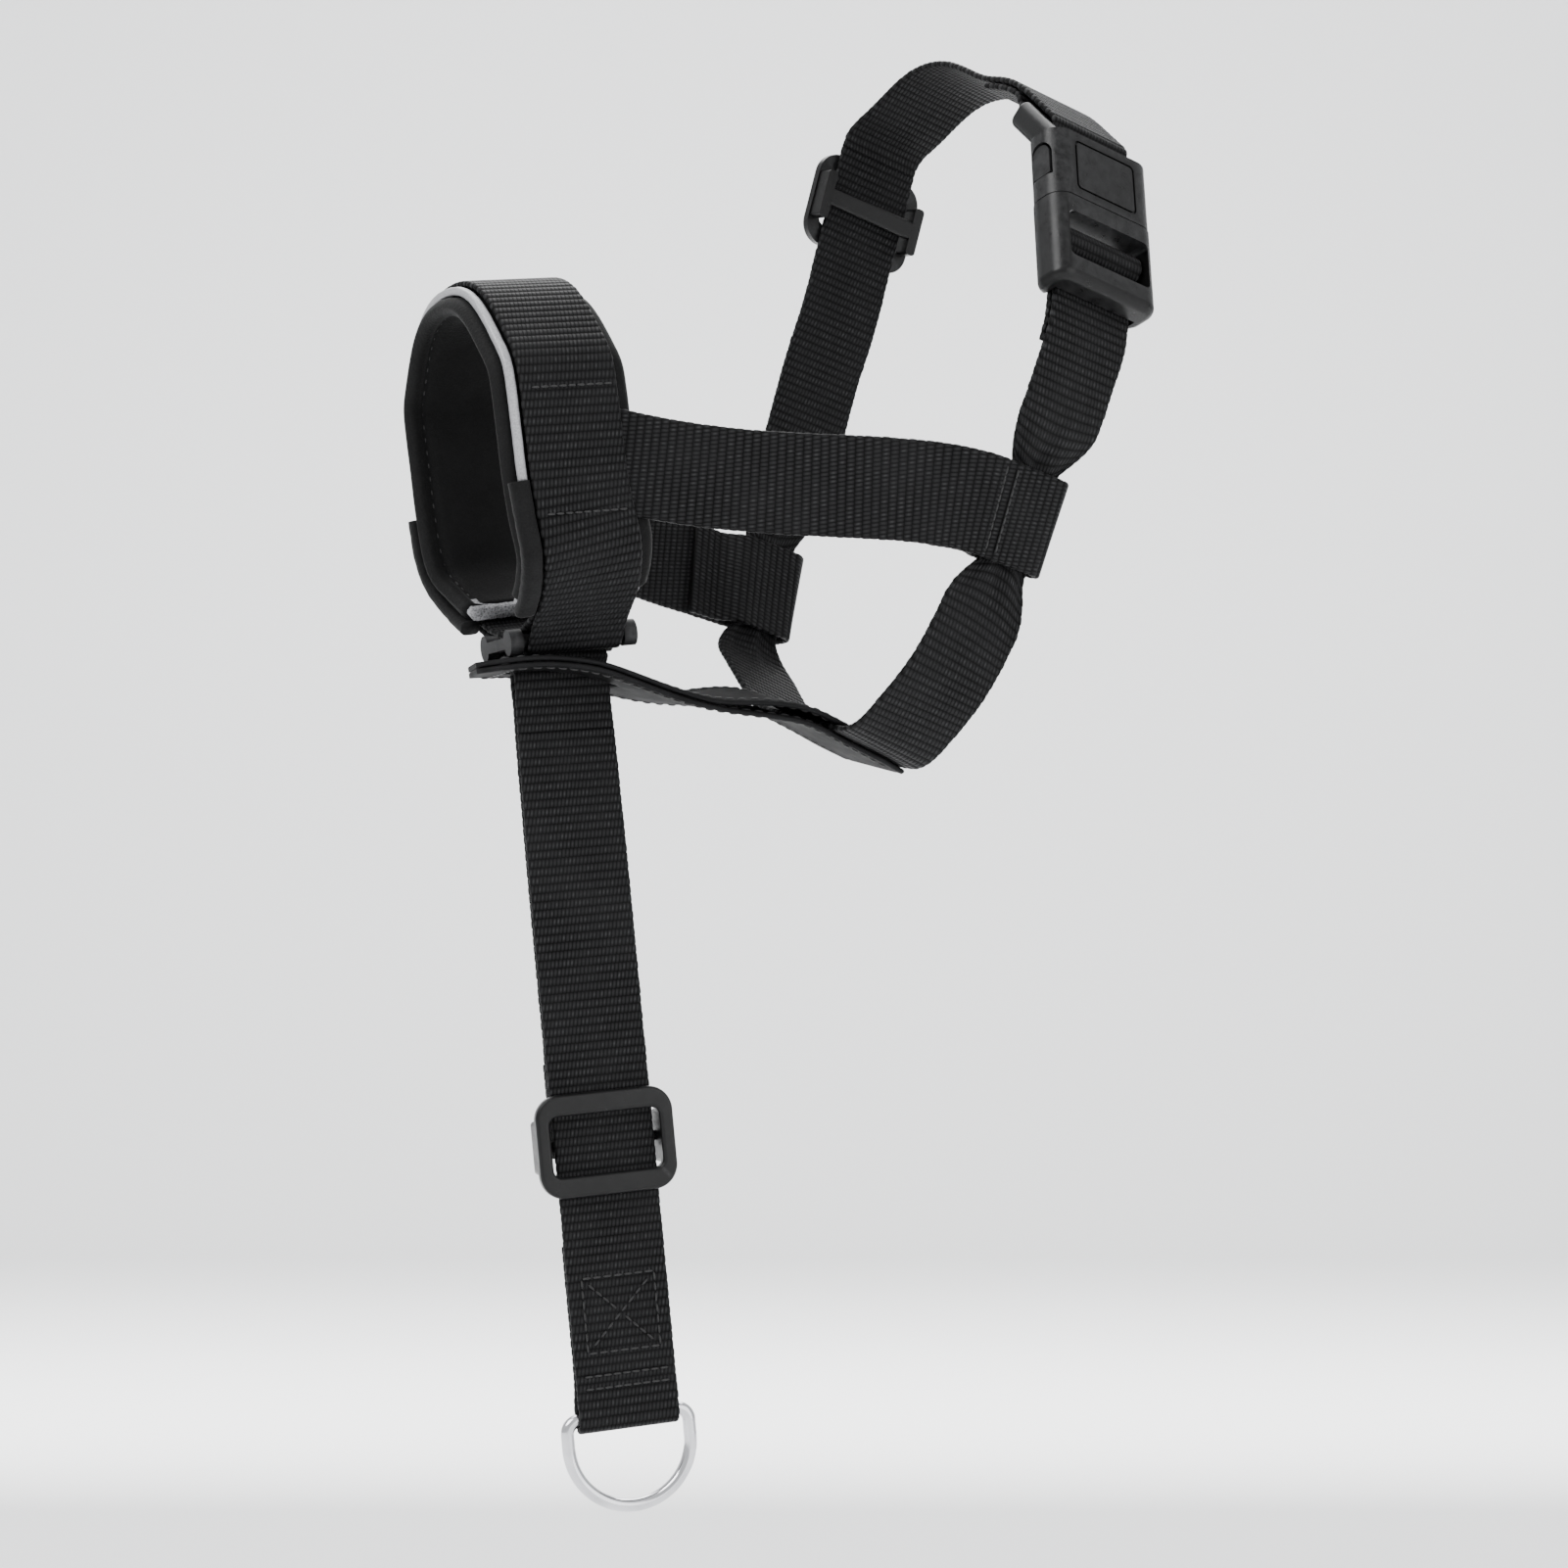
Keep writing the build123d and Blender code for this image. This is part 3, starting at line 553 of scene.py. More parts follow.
def knit_material(name, dark, light):
    """Fine knit facing of the pad."""
    n = Nodes(name)
    place = n.place()
    cells = n.cells(place, 1500.0)
    soft = n.noise(place, 90.0, 4.0)
    fibre = n.noise(place, 4000.0, 2.0)
    height = n.plus(n.times(cells, 0.7), n.times(fibre, 0.3))
    tone = n.blend(n.ramp(soft, 0.3, 0.7), grey(dark), grey(light))
    tone = n.blend(n.ramp(cells, 0.2, 0.8, 0.25, 0.0), tone, grey(light * 1.5))
    under = n.bump(soft, 0.6 * MM, 0.35)
    return n.surface(Base_Color=tone, Roughness=n.ramp(fibre, 0.3, 0.7, 0.62, 0.85),
                     Sheen_Weight=0.04, Sheen_Roughness=0.45, Specular_IOR_Level=0.15,
                     Normal=n.bump(height, 0.12 * MM, 0.8, under))


def foam_material():
    """Grey foam with small open cells on its cut ends, their hollows darkened with painted shade."""
    n = Nodes("foam_grey")
    place = n.place()
    cells = n.cells(place, 1700.0)
    big = n.noise(place, 500.0, 4.0)
    # painted shade: darker where the cells' bump is low, in their hollows
    tone = n.blend(n.ramp(cells, 0.1, 0.7), grey(0.09), grey(0.3))
    tone = n.blend(n.ramp(big, 0.4, 0.7, 0.0, 0.4), tone, grey(0.38))
    return n.surface(Base_Color=tone, Roughness=0.9, Specular_IOR_Level=0.15,
                     Normal=n.bump(cells, 0.3 * MM, 0.9))


def piping_material():
    """Light reflective tape: silvery beads on a pale ground, scuffed."""
    n = Nodes("reflective_tape")
    place = n.place()
    beads = n.cells(place, 2600.0)
    scuff = n.noise(place, 220.0, 5.0, 0.65)
    tone = n.blend(n.ramp(beads, 0.1, 0.7), grey(0.42), grey(0.28))
    tone = n.blend(n.ramp(scuff, 0.55, 0.78, 0.0, 0.5), tone, grey(0.26))
    return n.surface(Base_Color=tone, Metallic=0.15, Roughness=n.ramp(scuff, 0.3, 0.7, 0.28, 0.5),
                     Normal=n.bump(beads, 0.06 * MM, 0.6))


def leather_material():
    """Smooth black leather with fine grain, satin on its flat faces, with a painted highlight along its
    edges.
    """
    n = Nodes("leather_black")
    place = n.place()
    grain = n.cells(place, 900.0)
    crease = n.noise(place, 160.0, 5.0, 0.6)
    pores = n.noise(place, 2600.0, 2.0)
    height = n.plus(n.times(grain, 0.5), n.times(crease, 0.6))
    tone = n.blend(n.ramp(crease, 0.3, 0.7), grey(0.003), grey(0.01))
    tone = n.blend(n.ramp(pores, 0.6, 0.75, 0.0, 0.5), tone, grey(0.002))
    # painted highlight: sharp outer edges lightened
    tone = n.blend(n.ramp(n.edge_sharpness(), 0.52, 0.62, 0.0, 0.5), tone, grey(0.03))
    return n.surface(Base_Color=tone, Roughness=n.ramp(crease, 0.3, 0.7, 0.55, 0.7),
                     Specular_IOR_Level=0.03, Normal=n.bump(height, 0.16 * MM, 0.55))


def plastic_material(name, level, rough, gloss=0.24):
    """Moulded plastic: fine spark-eroded grain, flow marks, and edges lightened partly as rubbed wear and
    partly as painted highlight.
    """
    n = Nodes(name)
    place = n.place()
    grain = n.noise(place, 3200.0, 3.0, 0.6)
    flow = n.noise(place, 45.0, 4.0, 0.6)
    scuff = n.noise(place, 380.0, 6.0, 0.7)
    tone = n.blend(n.ramp(flow, 0.3, 0.7), grey(level * 0.8), grey(level * 1.25))
    # sharp edges broken up by scuffing and lightened: partly real rubbed wear, partly a painted edge
    # highlight
    wear_and_painted_highlight = n.times(n.ramp(n.edge_sharpness(), 0.52, 0.60), n.ramp(scuff, 0.4, 0.6, 0.25, 1.0))
    tone = n.blend(wear_and_painted_highlight, tone, grey(level * 4.5))
    shine = n.ramp(scuff, 0.35, 0.75, rough - 0.07, rough + 0.12)
    return n.surface(Base_Color=tone, Roughness=shine, Specular_IOR_Level=gloss,
                     Normal=n.bump(grain, 0.05 * MM, 0.55))


def thread_material():
    """Bonded thread with a visible twist, painted shade in its grooves and painted highlight on its crests.
    """
    n = Nodes("thread_black")
    u, v = n.mapping()
    twist = n.math("ABSOLUTE", n.wave(n.plus(n.times(u, 2.2), n.times(v, 2.0))))
    # painted shade and highlight: colour follows the twist's bump, dark in the grooves and light on the
    # crests
    tone = n.blend(twist, grey(0.002), grey(0.014))
    return n.surface(Base_Color=tone, Roughness=0.5, Sheen_Weight=0.02,
                     Normal=n.bump(twist, 0.08 * MM, 0.8))


def chrome_material():
    """Bright plated wire with faint rubbing and a little haze."""
    n = Nodes("plated_steel")
    place = n.place()
    haze = n.noise(place, 130.0, 5.0, 0.6)
    rub = n.noise(place, 1400.0, 4.0, 0.7)
    tone = n.blend(n.ramp(haze, 0.35, 0.7), grey(0.74), grey(0.6))
    return n.surface(Base_Color=tone, Metallic=1.0, Roughness=n.ramp(haze, 0.35, 0.75, 0.1, 0.24),
                     Normal=n.bump(rub, 0.01 * MM, 0.5))


WEB = webbing_material("webbing_black")
WEB_FINE = webbing_material("webbing_fine", yarn_pitch=0.95)
COVER = knit_material("pad_knit", 0.0015, 0.004)
BINDING = knit_material("pad_binding", 0.0015, 0.006)
FOAM = foam_material()
TAPE = piping_material()
LEATHER = leather_material()
PLASTIC = plastic_material("plastic_black", 0.004, 0.34)
LINK_PLASTIC = plastic_material("plastic_link", 0.008, 0.45, 0.14)
THREAD = thread_material()
CHROME = chrome_material()


# ---------------------------------------------------------------- straps

joints = {j["name"]: j for j in frame["joints"]}


def middle_of(node):
    """Centre of a frame node's box."""
    low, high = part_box(node)
    return np.array((low + high) / 2)


nose = strap_of("nose_strap")
neck = strap_of("neck_strap")
crown = strap_of("crown_strap")
cheeks = {side: strap_of("cheek_strap_" + side) for side in ("left", "right")}

GRIP_HALF = 6 * MM                     # half the stretch a loop holds flat
GATHER_REACH = 15 * MM                 # how far its pleats run out
RIB_SAG = 7 * MM                       # how far the ribs bow toward it
SAG_EASE = 8 * MM
PLEATS = ((2.5, 0.0, 0.75 * MM), (5, 0.7, 0.25 * MM))      # waves across, their turn and height
SLIDER_DIP = 0.26 * MM                 # room under the neck slider
DIP_START = 22.5 * MM                  # the dip's ends, before the slider's own place
DIP_END = 4 * MM
DIP_EASE = 4 * MM


def rear_of(strap):
    """Distance along a cheek strap to the rear end of its loop."""
    return strap.s[np.argmax(strap.centre[:, 1])]


grips = [neck.near(strap.at([rear_of(strap)])[0][0]) for strap in cheeks.values()]
neck_slider_at = neck.near(middle_of("neck_slider"))


def neck_wrinkle(s, a):
    """Gathers beside each loop, and a small dip where the neck slider comes down the strap."""
    shift_s = np.zeros(len(s))
    shift_y = np.zeros(len(s))
    for grip in grips:
        d = s - grip
        near = np.exp(-(np.maximum(np.abs(d) - GRIP_HALF, 0) / GATHER_REACH) ** 2)
        toward = -np.sign(d) * smooth_step(np.abs(d) / SAG_EASE)
        shift_s += toward * RIB_SAG * near * (1 - np.abs(a) ** 1.6)
        shift_y += sum(np.cos(a * math.pi * k + turn) * size for k, turn, size in PLEATS) * near
    past = s - neck_slider_at
    dip = smooth_step((past + DIP_START) / DIP_EASE) * (1 - smooth_step((past + DIP_END) / DIP_EASE))
    return shift_s, shift_y - SLIDER_DIP * dip


neck_piece = webbing("neck_webbing", neck, wrinkle=neck_wrinkle, seed=3)
finish_piece(neck_piece, WEB, "halter", nodes_stood_for=("neck_strap",))

LEFT_OPEN = 0.03 * MM                  # kept between the crown strap and the neck strap's end


def end_gap(strap, end, other):
    """Distance from one end of a strap to the nearer end of another."""
    return min(np.linalg.norm(strap.centre[end] - other.centre[f]) for f in (0, -1))


gaps = (end_gap(crown, 0, neck), end_gap(crown, -1, neck))
grow = max(0.0, min(gaps) - LEFT_OPEN)
before, after = (grow, 0.0) if gaps[0] < gaps[1] else (0.0, grow)
crown_piece = webbing("crown_webbing", crown, -before, crown.length + after, seed=4)
slider_end = 0.0 if crown.centre[0][2] < crown.centre[-1][2] else crown.length
slider_top = crown.at([slider_end])[0][0]
crown_bend = ("halter", "socket", tuple(slider_top), tuple(middle_of("buckle_socket")))
finish_piece(crown_piece, WEB, bend=crown_bend, nodes_stood_for=("crown_strap",))

LOOP_SEAM = 20 * MM                    # the loop's seam, in front of its rear end
DENT = (1.1 * MM, 0.6 * MM)            # reach and depth of the seam's dent
SWELL = (2.5 * MM, 0.3 * MM)           # and of the swelling behind it
SWELL_BEHIND = 4 * MM


def loop_seam(strap):
    """Length along a cheek strap where its loop's outer ply is sewn down."""
    both = (rear_of(strap) - LOOP_SEAM, rear_of(strap) + LOOP_SEAM)
    return max(both, key=lambda s: abs(strap.at([s])[0][0][0]))


def crease(strap):
    """Dent across a cheek strap at its loop's seam, pressed toward the head."""
    at = loop_seam(strap)
    c, _, normal, _, _ = strap.at([at])
    inward = -math.copysign(1.0, c[0][0] * normal[0][0])

    def wrinkle(s, a):
        dent = np.exp(-((s - at) / DENT[0]) ** 2) * DENT[1]
        swell = np.exp(-((s - at - SWELL_BEHIND) / SWELL[0]) ** 2) * SWELL[1]
        return np.zeros(len(s)), inward * (dent - swell) * np.ones_like(a)
    return wrinkle


for side, strap in cheeks.items():
    piece = webbing("cheek_webbing_" + side, strap, rib=2.1 * MM, wrinkle=crease(strap), seed=5)
    finish_piece(piece, WEB, "halter", nodes_stood_for=("cheek_strap_" + side,))
nose_piece = webbing("nose_webbing", nose, seed=6)
finish_piece(nose_piece, WEB, "halter", nodes_stood_for=("nose_strap",))


# ---------------------------------------------------------------- leash straps

leash_top = np.array(joints["leash_swing"]["pos_m"])
leash_down = unit(np.array(joints["leash_slider_slide"]["axis"], float))
ring_bar = np.array(joints["ring_swing"]["pos_m"])
side_top = unit(np.array(joints["leash_swing"]["axis"], float))
side_low = unit(np.array(joints["ring_swing"]["axis"], float))
leash_length = float((ring_bar - leash_top) @ leash_down)
slider_down = float((middle_of("leash_slider") - leash_top) @ leash_down)
link_at = middle_of("chin_link")
PLY = 0.95 * MM                        # each ply's middle from the leash's middle
TWIST_FROM = 4 * MM
TWIST_LENGTH = 40 * MM                 # leash over which it turns to face the ring
LINK_FOLD = 2.45 * MM                  # radii of the folds
RING_FOLD = 2.55 * MM
SLIDER_FOLD = 2.2 * MM
FOLD_STEPS = 10
LINK_STEPS = 6
LINK_TURN = (88, 8)                    # degrees above level where half the link's fold starts and ends
BELOW_LINK = (-3.2 * MM, 1.95 * MM)    # down and out, where the plies close together
STATION_STEP = 8.0                     # mm between the leash's stations


def leash_frame(down):
    """Middle, width direction and outward direction of the leash at a distance down."""
    share = min(max((down - TWIST_FROM) / TWIST_LENGTH, 0), 1)
    side = unit(side_top * (1 - share) + side_low * share)
    side = unit(side - leash_down * (side @ leash_down))
    return leash_top + leash_down * down, side, -np.cross(side, leash_down)


def leash_station(down, out):
    """One station of a leash strap: a point and its width direction."""
    middle, side, outward = leash_frame(down)
    return middle + outward * out, side


def over_link(face):
    """Stations of half the fold over the link's centre bar."""
    lateral = unit(np.cross(leash_down, side_top)) * -1
    stations = []
    for step in range(LINK_STEPS + 1):
        turn = math.radians(LINK_TURN[0] - (LINK_TURN[0] - LINK_TURN[1]) * step / LINK_STEPS)
        point = link_at + lateral * (face * LINK_FOLD * math.cos(turn))
        stations.append((point - leash_down * (LINK_FOLD * math.sin(turn)), side_top))
    return stations + [leash_station(BELOW_LINK[0], face * BELOW_LINK[1])]


def straight(reach, out):
    """Stations straight down the leash as far as a distance in mm."""
    downs = [0.5] + list(np.arange(STATION_STEP, reach, STATION_STEP))
    return [leash_station(d * MM, out) for d in downs]


def fold_back(down, out, radius, after):
    """Stations of a half turn round a bar, then back up; after gives back and out in mm."""
    stations = []
    for step in range(FOLD_STEPS + 1):
        turn = math.radians(90 - 180 * step / FOLD_STEPS)
        depth = down + radius * math.cos(turn)
        stations.append(leash_station(depth, out - radius + radius * math.sin(turn)))
    return stations + [leash_station(down - up * MM, off * MM) for up, off in after]


def leash_path(stations):
    """Strap through leash stations."""
    points, sides = zip(*stations)
    return Strap(points, sides, [WEB_WIDE] * len(stations), WEB_THICK)


def front_stations():
    """Front ply: over the link, through the slider and round the ring's bar."""
    sewn = [(4, -3.3), (8, -1.7)] + [(up, -PLY / MM) for up in (12, 20, 28, 36, 42)]
    low = fold_back(leash_length, PLY, RING_FOLD, sewn)
    return over_link(outward_sign) + straight(leash_length / MM - 2, PLY) + low


def return_stations():
    """Back ply: from the link to the slider, sewn round its centre bar."""
    sewn = [(5, -4.6), (10, -3.1)] + [(up, -3 * PLY / MM) for up in (14, 20)]
    low = fold_back(slider_down, -PLY, SLIDER_FOLD, sewn)
    stem = straight(slider_down / MM - 4, -PLY) + [leash_station(slider_down - 4 * MM, -PLY)]
    return over_link(-outward_sign) + stem + low


outward_sign = 1 if leash_frame(0)[2] @ unit(np.cross(leash_down, side_top)) < 0 else -1
SPLIT = 16 * MM                        # the swing's bend is all above this, the slide's below


def down_leash(distance):
    """Point on the leash's middle at a distance down."""
    return tuple(leash_top + leash_down * distance)


def leash_pieces(name, stations, out, mover, far, cad):
    """Webbing of one ply, in two pieces: the part round the swing, and the part below it."""
    strap = leash_path(stations)
    cut = round(strap.near(leash_station(SPLIT, out)[0]) / RIB) * RIB
    upper = webbing(name + "_upper", strap, 0.0, cut, seed=7)
    swing = ("halter", "leash", down_leash(-3 * MM), down_leash(12 * MM))
    finish_piece(upper, WEB_FINE, bend=swing, nodes_stood_for=(cad,))
    lower = webbing(name + "_lower", strap, cut, None, seed=8)
    slide = ("leash", mover, down_leash(SPLIT * 1.3), down_leash(far))
    finish_piece(lower, WEB_FINE, bend=slide)


leash_pieces("leash_front", front_stations(), PLY, "leash_tail", slider_down + 20 * MM, "leash_strap")
leash_pieces("leash_back", return_stations(), -PLY, "leash_slider", slider_down - 12 * MM,
             "leash_return_strap")


# ---------------------------------------------------------------- muzzle pad

pad = strap_of("nose_pad_foam")
PAD_COLUMNS = 34
PAD_ROWS = 110
PAD_WIDE = 35 * MM
PAD_END = 0.4 * MM                     # the cover stops this short of the foam's ends
SEAM_AT = 0.74                         # the cover's two seams, as a share of its half width
OUTER_FACE = (2.3, 0.25, 0.15)         # fullness mm, seam depth mm, thickness left at the rim
INNER_FACE = (2.2, 1.3, 0.1)
PRESSURE = 4.0
SWELL_CAP = 1.4 * MM                   # no point moves farther than this
SWELL_FRAMES = 20


def rounded(a, start):
    """Quarter-round fall from 1 to 0 between a share of the half width and the edge."""
    return math.sqrt(max(0.0, 1 - max(0.0, (abs(a) - start) / (1 - start)) ** 2))


def pad_height(a, full, seam, rim):
    """Height across the pad: full in the middle, pinched at the seams, thin at the rim."""
    groove = math.exp(-((abs(a) - SEAM_AT) / 0.05) ** 2)
    return (full - seam * groove) * (rim + (1 - rim) * rounded(a, 0.86)) * MM


def both_faces(count):
    """Positions round a flat tube: across from -1 to 1, and which face."""
    across = [-1 + 2 * k / (count - 1) for k in range(count)]
    return [(a, 1) for a in across] + [(-a, -1) for a in across]


def inflate(obj, held):
    """Swells a piece as cloth, holding some of its points, and keeps the result."""
    obj.vertex_groups.new(name="held").add(held, 1.0, "REPLACE")
    rest = np.array([v.co for v in obj.data.vertices], float)
    cloth = obj.modifiers.new("cloth", "CLOTH")
    cloth.settings.vertex_group_mass = "held"
    cloth.settings.use_pressure = True
    cloth.settings.uniform_pressure_force = PRESSURE
    cloth.settings.effector_weights.gravity = 0.0
    cloth.settings.tension_stiffness = 12
    cloth.settings.compression_stiffness = 12
    cloth.settings.bending_stiffness = 0.4
    cloth.settings.quality = 6
    scene = bpy.context.scene
    for f in range(1, SWELL_FRAMES + 1):
        scene.frame_set(f)
    evaluated = obj.evaluated_get(bpy.context.evaluated_depsgraph_get())
    moved = np.array([v.co for v in evaluated.data.vertices], float)
    obj.modifiers.remove(cloth)
    scene.frame_set(1)
    step = moved - rest
    size = np.linalg.norm(step, axis=1, keepdims=True)
    step *= np.minimum(1.0, SWELL_CAP / np.maximum(size, 1e-9))
    obj.data.vertices.foreach_set("co", (rest + step).astype(np.float32).ravel())
    obj.data.update()


def subdivide(obj):
    """Applies one smooth subdivision."""
    obj.modifiers.new("smooth", "SUBSURF").levels = 1
    evaluated = obj.evaluated_get(bpy.context.evaluated_depsgraph_get())
    mesh = bpy.data.meshes.new_from_object(evaluated)
    obj.modifiers.clear()
    obj.data = mesh
    for poly in mesh.polygons:
        poly.use_smooth = True


outward_pad = 1 if pad.at([pad.length / 2])[2][0][2] > 0 else -1


def pad_cover():
    """The pad's cloth sleeve, swollen on its inner face between the seams."""
    c, side, normal, _, _ = pad.at(np.linspace(PAD_END, pad.length - PAD_END, PAD_ROWS))
    around = both_faces(PAD_COLUMNS)
    verts = np.zeros((PAD_ROWS, len(around), 3))
    held = []
    for j, (a, face) in enumerate(around):
        outer = face == outward_pad
        height = face * pad_height(a, *(OUTER_FACE if outer else INNER_FACE))
        verts[:, j] = c + side * (a * PAD_WIDE / 2) + normal * height
        seam = 0.68 < abs(a) < 0.8
        for i in range(PAD_ROWS):
            ends = i < 2 or i > PAD_ROWS - 3
            if outer or seam or ends or abs(a) > 0.95:
                held.append(i * len(around) + j)
    cover = loft("muzzle_pad", verts)
    inflate(cover, held)
    subdivide(cover)
    return cover


finish_piece(pad_cover(), COVER, "halter",
             nodes_stood_for=("nose_pad_backing", "nose_pad_lining"))

FOAM_COLUMNS = 40
FOAM_HALF = 16.2 * MM
FOAM_THICK = 1.55 * MM                 # half of what shows between the cover's faces
FOAM_ROUGH = 0.05 * MM
FOAM_OUT = 1.3 * MM                    # how far the cut ends stand out
FOAM_IN = 5 * MM


def foam_end(name, start, end, seed):
    """Cut end of the foam, standing a little out of the pad's cover."""
    rng = np.random.default_rng(seed)
    s = np.linspace(start, end, 6)
    c, side, normal, _, _ = pad.at(s)
    ring = both_faces(FOAM_COLUMNS)
    verts = np.zeros((len(s), len(ring), 3))
    for j, (a, face) in enumerate(ring):
        half = FOAM_THICK * (0.25 + 0.75 * rounded(a, 0.9))
        rough = rng.normal(0, FOAM_ROUGH, len(s))
        verts[:, j] = c + side * (a * FOAM_HALF) + normal * (face * half + rough)[:, None]
    return loft(name, verts)


low_end = foam_end("foam_end_a", -FOAM_OUT, FOAM_IN, 11)
high_end = foam_end("foam_end_b", pad.length - FOAM_IN, pad.length + FOAM_OUT, 12)
finish_piece(low_end, FOAM, "halter", nodes_stood_for=("nose_pad_foam",))
finish_piece(high_end, FOAM, "halter")


# ---------------------------------------------------------------- piping and edge covers

CORD_STEP = 0.6 * MM
CORD_SIDES = 20
SQUARENESS = 0.6                       # below 1 the round section fills its corners
PUCKERS = (0.55, 0.9, 2.1)             # wavelengths of the seam's puckering, mm per radian


def squared(value):
    """A cosine or sine pushed toward plus or minus one."""
    return math.copysign(abs(value) ** SQUARENESS, value)


def cord(name, strap, pucker, material, cad, seed):
    """Rounded strip along a strap: piping or a folded fabric edge, puckered by its seam."""
    rng = np.random.default_rng(seed)
    rows = max(8, int(strap.length / CORD_STEP))
    s = np.linspace(0, strap.length, rows)
    c, side, normal, width, _ = strap.at(s)
    waves = sum(np.sin(s / (w * MM) + rng.uniform(0, 6)) for w in PUCKERS) / len(PUCKERS)
    verts = np.zeros((rows, CORD_SIDES, 3))
    for j in range(CORD_SIDES):
        t = 2 * math.pi * j / CORD_SIDES
        x = squared(math.cos(t)) * width / 2 * (1 + pucker * waves * 0.3)
        y = squared(math.sin(t)) * strap.thick / 2 * (1 + pucker * waves)
        verts[:, j] = c + side * x[:, None] + normal * y[:, None]
    finish_piece(loft(name, verts), material, "halter", nodes_stood_for=(cad,))


TAPE_ROWS = 60
TAPE_SHORT = 0.3 * MM                  # gap between the piping and each edge cover


def beside_pad(strap, start, end):
    """Strip that keeps the given strip's place beside the pad between two pad lengths."""
    c, _, _, width, _ = strap.at([strap.length / 2])
    p, q, n, _, _ = pad.at([pad.near(c[0])])
    across = float((c[0] - p[0]) @ q[0])
    proud = float((c[0] - p[0]) @ n[0])
    p, q, n, _, _ = pad.at(np.linspace(start, end, TAPE_ROWS))
    return Strap(p + q * across + n * proud, q, [width[0]] * TAPE_ROWS, strap.thick)


cover_ends = []
for side in ("left", "right"):
    edge = strap_of("pad_edge_cover_" + side)
    along = [pad.near(edge.centre[0]), pad.near(edge.centre[-1])]
    cover_ends.append(min(along, key=lambda s: abs(s - pad.length / 2)))
tape = beside_pad(strap_of("reflective_piping"),
                  min(cover_ends) + TAPE_SHORT, max(cover_ends) - TAPE_SHORT)
cord("reflective_edge", tape, 0.05, TAPE, "reflective_piping", 21)
for side in ("left", "right"):
    node = "pad_edge_cover_" + side
    cord("edge_binding_" + side, strap_of(node), 0.07, BINDING, node, 22)


# ---------------------------------------------------------------- chin pad

LEATHER_STEP = 1.1 * MM
LEATHER_COLUMNS = 41
SLOT_X = (-3.2 * MM, 4.2 * MM)         # the leash's slot
SLOT_Y = (-4.5 * MM, 23.1 * MM)
RIM_SEAM = 0.82                        # stitched groove, as a share of the half width
GROOVE = 0.14 * MM


def in_slot(point):
    """Whether a point of the chin pad is inside the leash's slot."""
    return SLOT_X[0] < point[0] < SLOT_X[1] and SLOT_Y[0] < point[1] < SLOT_Y[1]


def slab_faces(solid):
    """Faces of a slab of cells, both faces and every rim, where solid marks its grid points."""
    rows, cols = solid.shape
    under = rows * cols
    faces = []

    def cell(i, j):
        inside = 0 <= i < rows - 1 and 0 <= j < cols - 1
        return inside and solid[i, j] and solid[i + 1, j] and solid[i, j + 1] and solid[i + 1, j + 1]

    for i in range(rows - 1):
        for j in range(cols - 1):
            if not cell(i, j):
                continue
            q = [i * cols + j, i * cols + j + 1, (i + 1) * cols + j + 1, (i + 1) * cols + j]
            faces.append(tuple(q))
            faces.append(tuple(under + k for k in q[::-1]))
            rims = ((i, j - 1, q[3], q[0]), (i, j + 1, q[1], q[2]),
                    (i - 1, j, q[0], q[1]), (i + 1, j, q[2], q[3]))
            for a, b, p, r in rims:
                if not cell(a, b):
                    faces.append((r, p, under + p, under + r))
    return faces


def leather_ply(node):
    """Leather layer with rounded edges, a slot for the leash and a stitched rim."""
    strap = strap_of(node)
    rows = int(strap.length / LEATHER_STEP)
    c, side, normal, width, _ = strap.at(np.linspace(0, strap.length, rows))
    across = np.linspace(-1, 1, LEATHER_COLUMNS)
    edge = np.sqrt(np.clip(1 - np.clip((np.abs(across) - 0.93) / 0.07, 0, 1) ** 2, 0, 1))
    seam = np.exp(-((np.abs(across) - RIM_SEAM) / 0.035) ** 2)
    height = strap.thick / 2 * (0.35 + 0.65 * edge) - GROOVE * seam
    middle = c[:, None] + side[:, None] * (across[None, :, None] * (width[:, None, None] / 2))
    rise = normal[:, None] * height[None, :, None]
    verts = np.concatenate([(middle + rise).reshape(-1, 3), (middle - rise).reshape(-1, 3)])
    solid = np.array([[not in_slot(point) for point in row] for row in middle])
    faces = slab_faces(solid)
    used = sorted({i for face in faces for i in face})
    place = {old: new for new, old in enumerate(used)}
    faces = [tuple(place[i] for i in face) for face in faces]
    obj = new_mesh(node + "_leather", verts[used], faces)
    finish_piece(obj, LEATHER, "halter", nodes_stood_for=(node,))
    return strap


chin_layers = [leather_ply("chin_pad_upper"), leather_ply("chin_pad_lower")]


# ---------------------------------------------------------------- stitching

LOOP_PITCH = 2.4 * MM                  # of the stitches across each loop's seam
LOOP_HALF = 10.5 * MM
LOOP_ROWS = (-1.6 * MM, 1.6 * MM)
CHIN_PITCH = 3.0 * MM                  # round the chin pad's rim
CHIN_HALF = 11.6 * MM
CHIN_END = 7 * MM
PAD_PITCH = 3.2 * MM                   # along the muzzle pad's seams
PAD_SEAM_HIGH = 1.05 * MM              # above the pad's middle


def row_across(strap, at, half, pitch, face):
    """Row of stitches across a strap, to the given distance each side of its middle."""
    return row_on(strap, (at, -half), (at, half), pitch, face)


def row_along(strap, margin, across, pitch, face, proud=0.0):
    """Row of stitches along a strap, stopping short of its ends."""
    return row_on(strap, (margin, across), (strap.length - margin, across), pitch, face, proud)


for node, body, name in (("tail_stitching", "leash_tail", "tail_thread"),
                         ("nose_stitching", "halter", "nose_thread")):
    thread = stitch_mesh(name, stitch_places(node), 1.9 * MM, 0.5 * MM)
    finish_piece(thread, THREAD, body, nodes_stood_for=(node,))

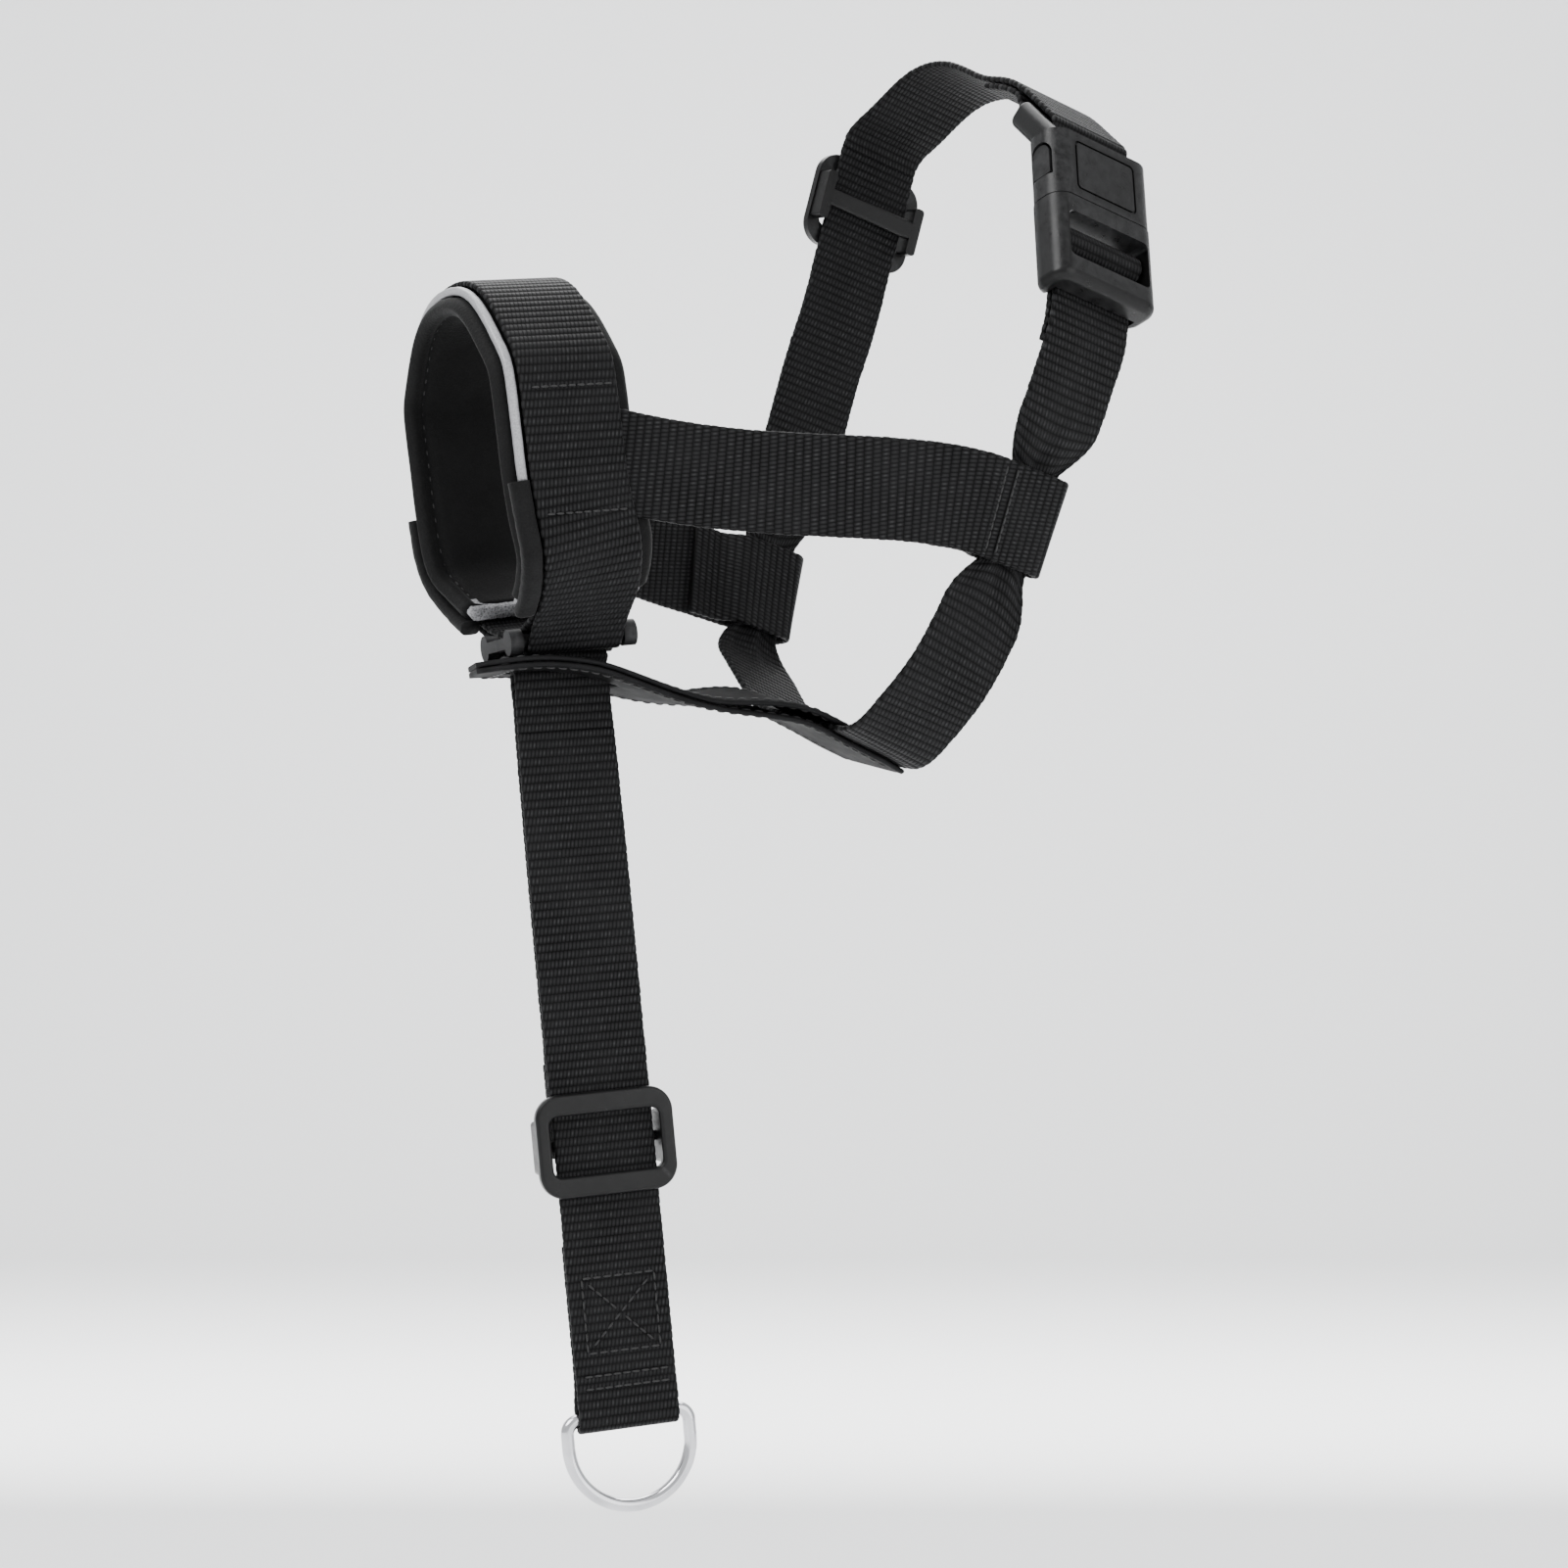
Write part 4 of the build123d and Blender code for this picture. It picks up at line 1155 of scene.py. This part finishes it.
places = []
for strap in cheeks.values():
    for beside in LOOP_ROWS:
        for face in (1, -1):
            places += row_across(strap, loop_seam(strap) + beside, LOOP_HALF, LOOP_PITCH, face)
for strap in chin_layers:
    for across in (-CHIN_HALF, CHIN_HALF):
        for face in (1, -1):
            places += row_along(strap, 4 * MM, across, CHIN_PITCH, face)
    places += row_across(strap, strap.length - CHIN_END, 11 * MM, CHIN_PITCH, 1)
seam_proud = PAD_SEAM_HIGH - pad.thick / 2
for across in (-SEAM_AT * PAD_WIDE / 2, SEAM_AT * PAD_WIDE / 2):
    places += row_along(pad, 3 * MM, across, PAD_PITCH, -outward_pad, seam_proud)
finish_piece(stitch_mesh("seam_thread", places), THREAD, "halter")


# ---------------------------------------------------------------- hard parts

def dress(names, material):
    """Gives frame nodes that stay shown their material."""
    for name in names:
        nodes[name].data.materials.clear()
        nodes[name].data.materials.append(material)


dress(("buckle_socket", "buckle_plug", "latch_arm_front", "latch_arm_rear"), PLASTIC)
dress(("neck_slider", "leash_slider"), PLASTIC)
dress(("chin_link",), LINK_PLASTIC)
dress(("d_ring",), CHROME)


# ---------------------------------------------------------------- scene

AZIMUTH = math.radians(60)
ELEVATION = math.radians(-5)
DISTANCE = 0.9
AIM_RIGHT = 0.063                      # the camera's aim, from the frame's origin
AIM_DOWN = 0.080
level = Vector((math.sin(AZIMUTH), -math.cos(AZIMUTH), 0))
toward = level * math.cos(ELEVATION) + Vector((0, 0, math.sin(ELEVATION)))
right = Vector((math.cos(AZIMUTH), math.sin(AZIMUTH), 0))
up = toward.cross(right)
target = right * AIM_RIGHT - up * AIM_DOWN
camera_data = bpy.data.cameras.new("camera")
camera_data.lens = 85
camera_data.sensor_width = 36
camera = bpy.data.objects.new("camera", camera_data)
camera.location = target + toward * DISTANCE
camera.rotation_euler = toward.to_track_quat("Z", "Y").to_euler()
bpy.context.scene.collection.objects.link(camera)
bpy.context.scene.camera = camera


def lamp(name, place, aim, size, power):
    """Large soft area light."""
    data = bpy.data.lights.new(name, "AREA")
    data.size = size
    data.energy = power
    light = bpy.data.objects.new(name, data)
    light.location = place
    light.rotation_euler = (Vector(place) - Vector(aim)).to_track_quat("Z", "Y").to_euler()
    bpy.context.scene.collection.objects.link(light)


centre = Vector((0.0, 0.06, -0.07))
rise = Vector((0, 0, 1))
lamp("key", centre + toward * 0.7 - right * 0.9 + rise * 1.1, centre, 0.9, 22)
lamp("fill", centre + toward * 0.9 + right * 0.9 + rise * 0.35, centre, 1.2, 10)
lamp("rim", centre - toward * 0.9 + rise * 1.0, centre, 0.9, 9)
lamp("backdrop_wash", centre - level * 0.9 + rise * 1.2, centre - level * 3.6 + rise * 0.5, 2.4, 110)
lamp("floor_wash", centre - level * 0.8 + rise * 1.6, centre - level * 1.3 - rise * 0.3, 1.6, 26)

world = bpy.data.worlds.new("studio")
bpy.context.scene.world = world
world.use_nodes = True
background = world.node_tree.nodes["Background"]
background.inputs["Color"].default_value = (0.93, 0.94, 0.95, 1)
background.inputs["Strength"].default_value = 0.9

LET_OUT = 0.058                        # room under the leash for its longest setting
FLOOR_FRONT = -1.5
FLOOR_BACK = 3.0
FLOOR_HALF = 6.0
SWEEP = 0.8                            # radius of the curve up to the backdrop
BACKDROP_TOP = 5.0
floor_at = cad_box[0][2] - LET_OUT
curve = [(FLOOR_BACK + SWEEP * math.sin(t), SWEEP * (1 - math.cos(t)))
         for t in np.linspace(0.15, math.pi / 2, 10)]
profile = [(FLOOR_FRONT, 0.0), (FLOOR_BACK, 0.0)] + curve + [(FLOOR_BACK + SWEEP, BACKDROP_TOP)]
verts = []
for reach, height in profile:
    for wide in (-FLOOR_HALF, FLOOR_HALF):
        p = right * wide - level * reach
        verts.append((p.x, p.y, floor_at + height))
strips = [(2 * i, 2 * i + 1, 2 * i + 3, 2 * i + 2) for i in range(len(profile) - 1)]
floor = new_mesh("floor", verts, strips)
paper = Nodes("studio_paper")
tooth = paper.noise(paper.place(), 400.0, 3.0)
floor.data.materials.append(paper.surface(Base_Color=(0.9, 0.905, 0.91, 1), Roughness=0.85,
                                          Normal=paper.bump(tooth, 0.1 * MM, 0.2)))
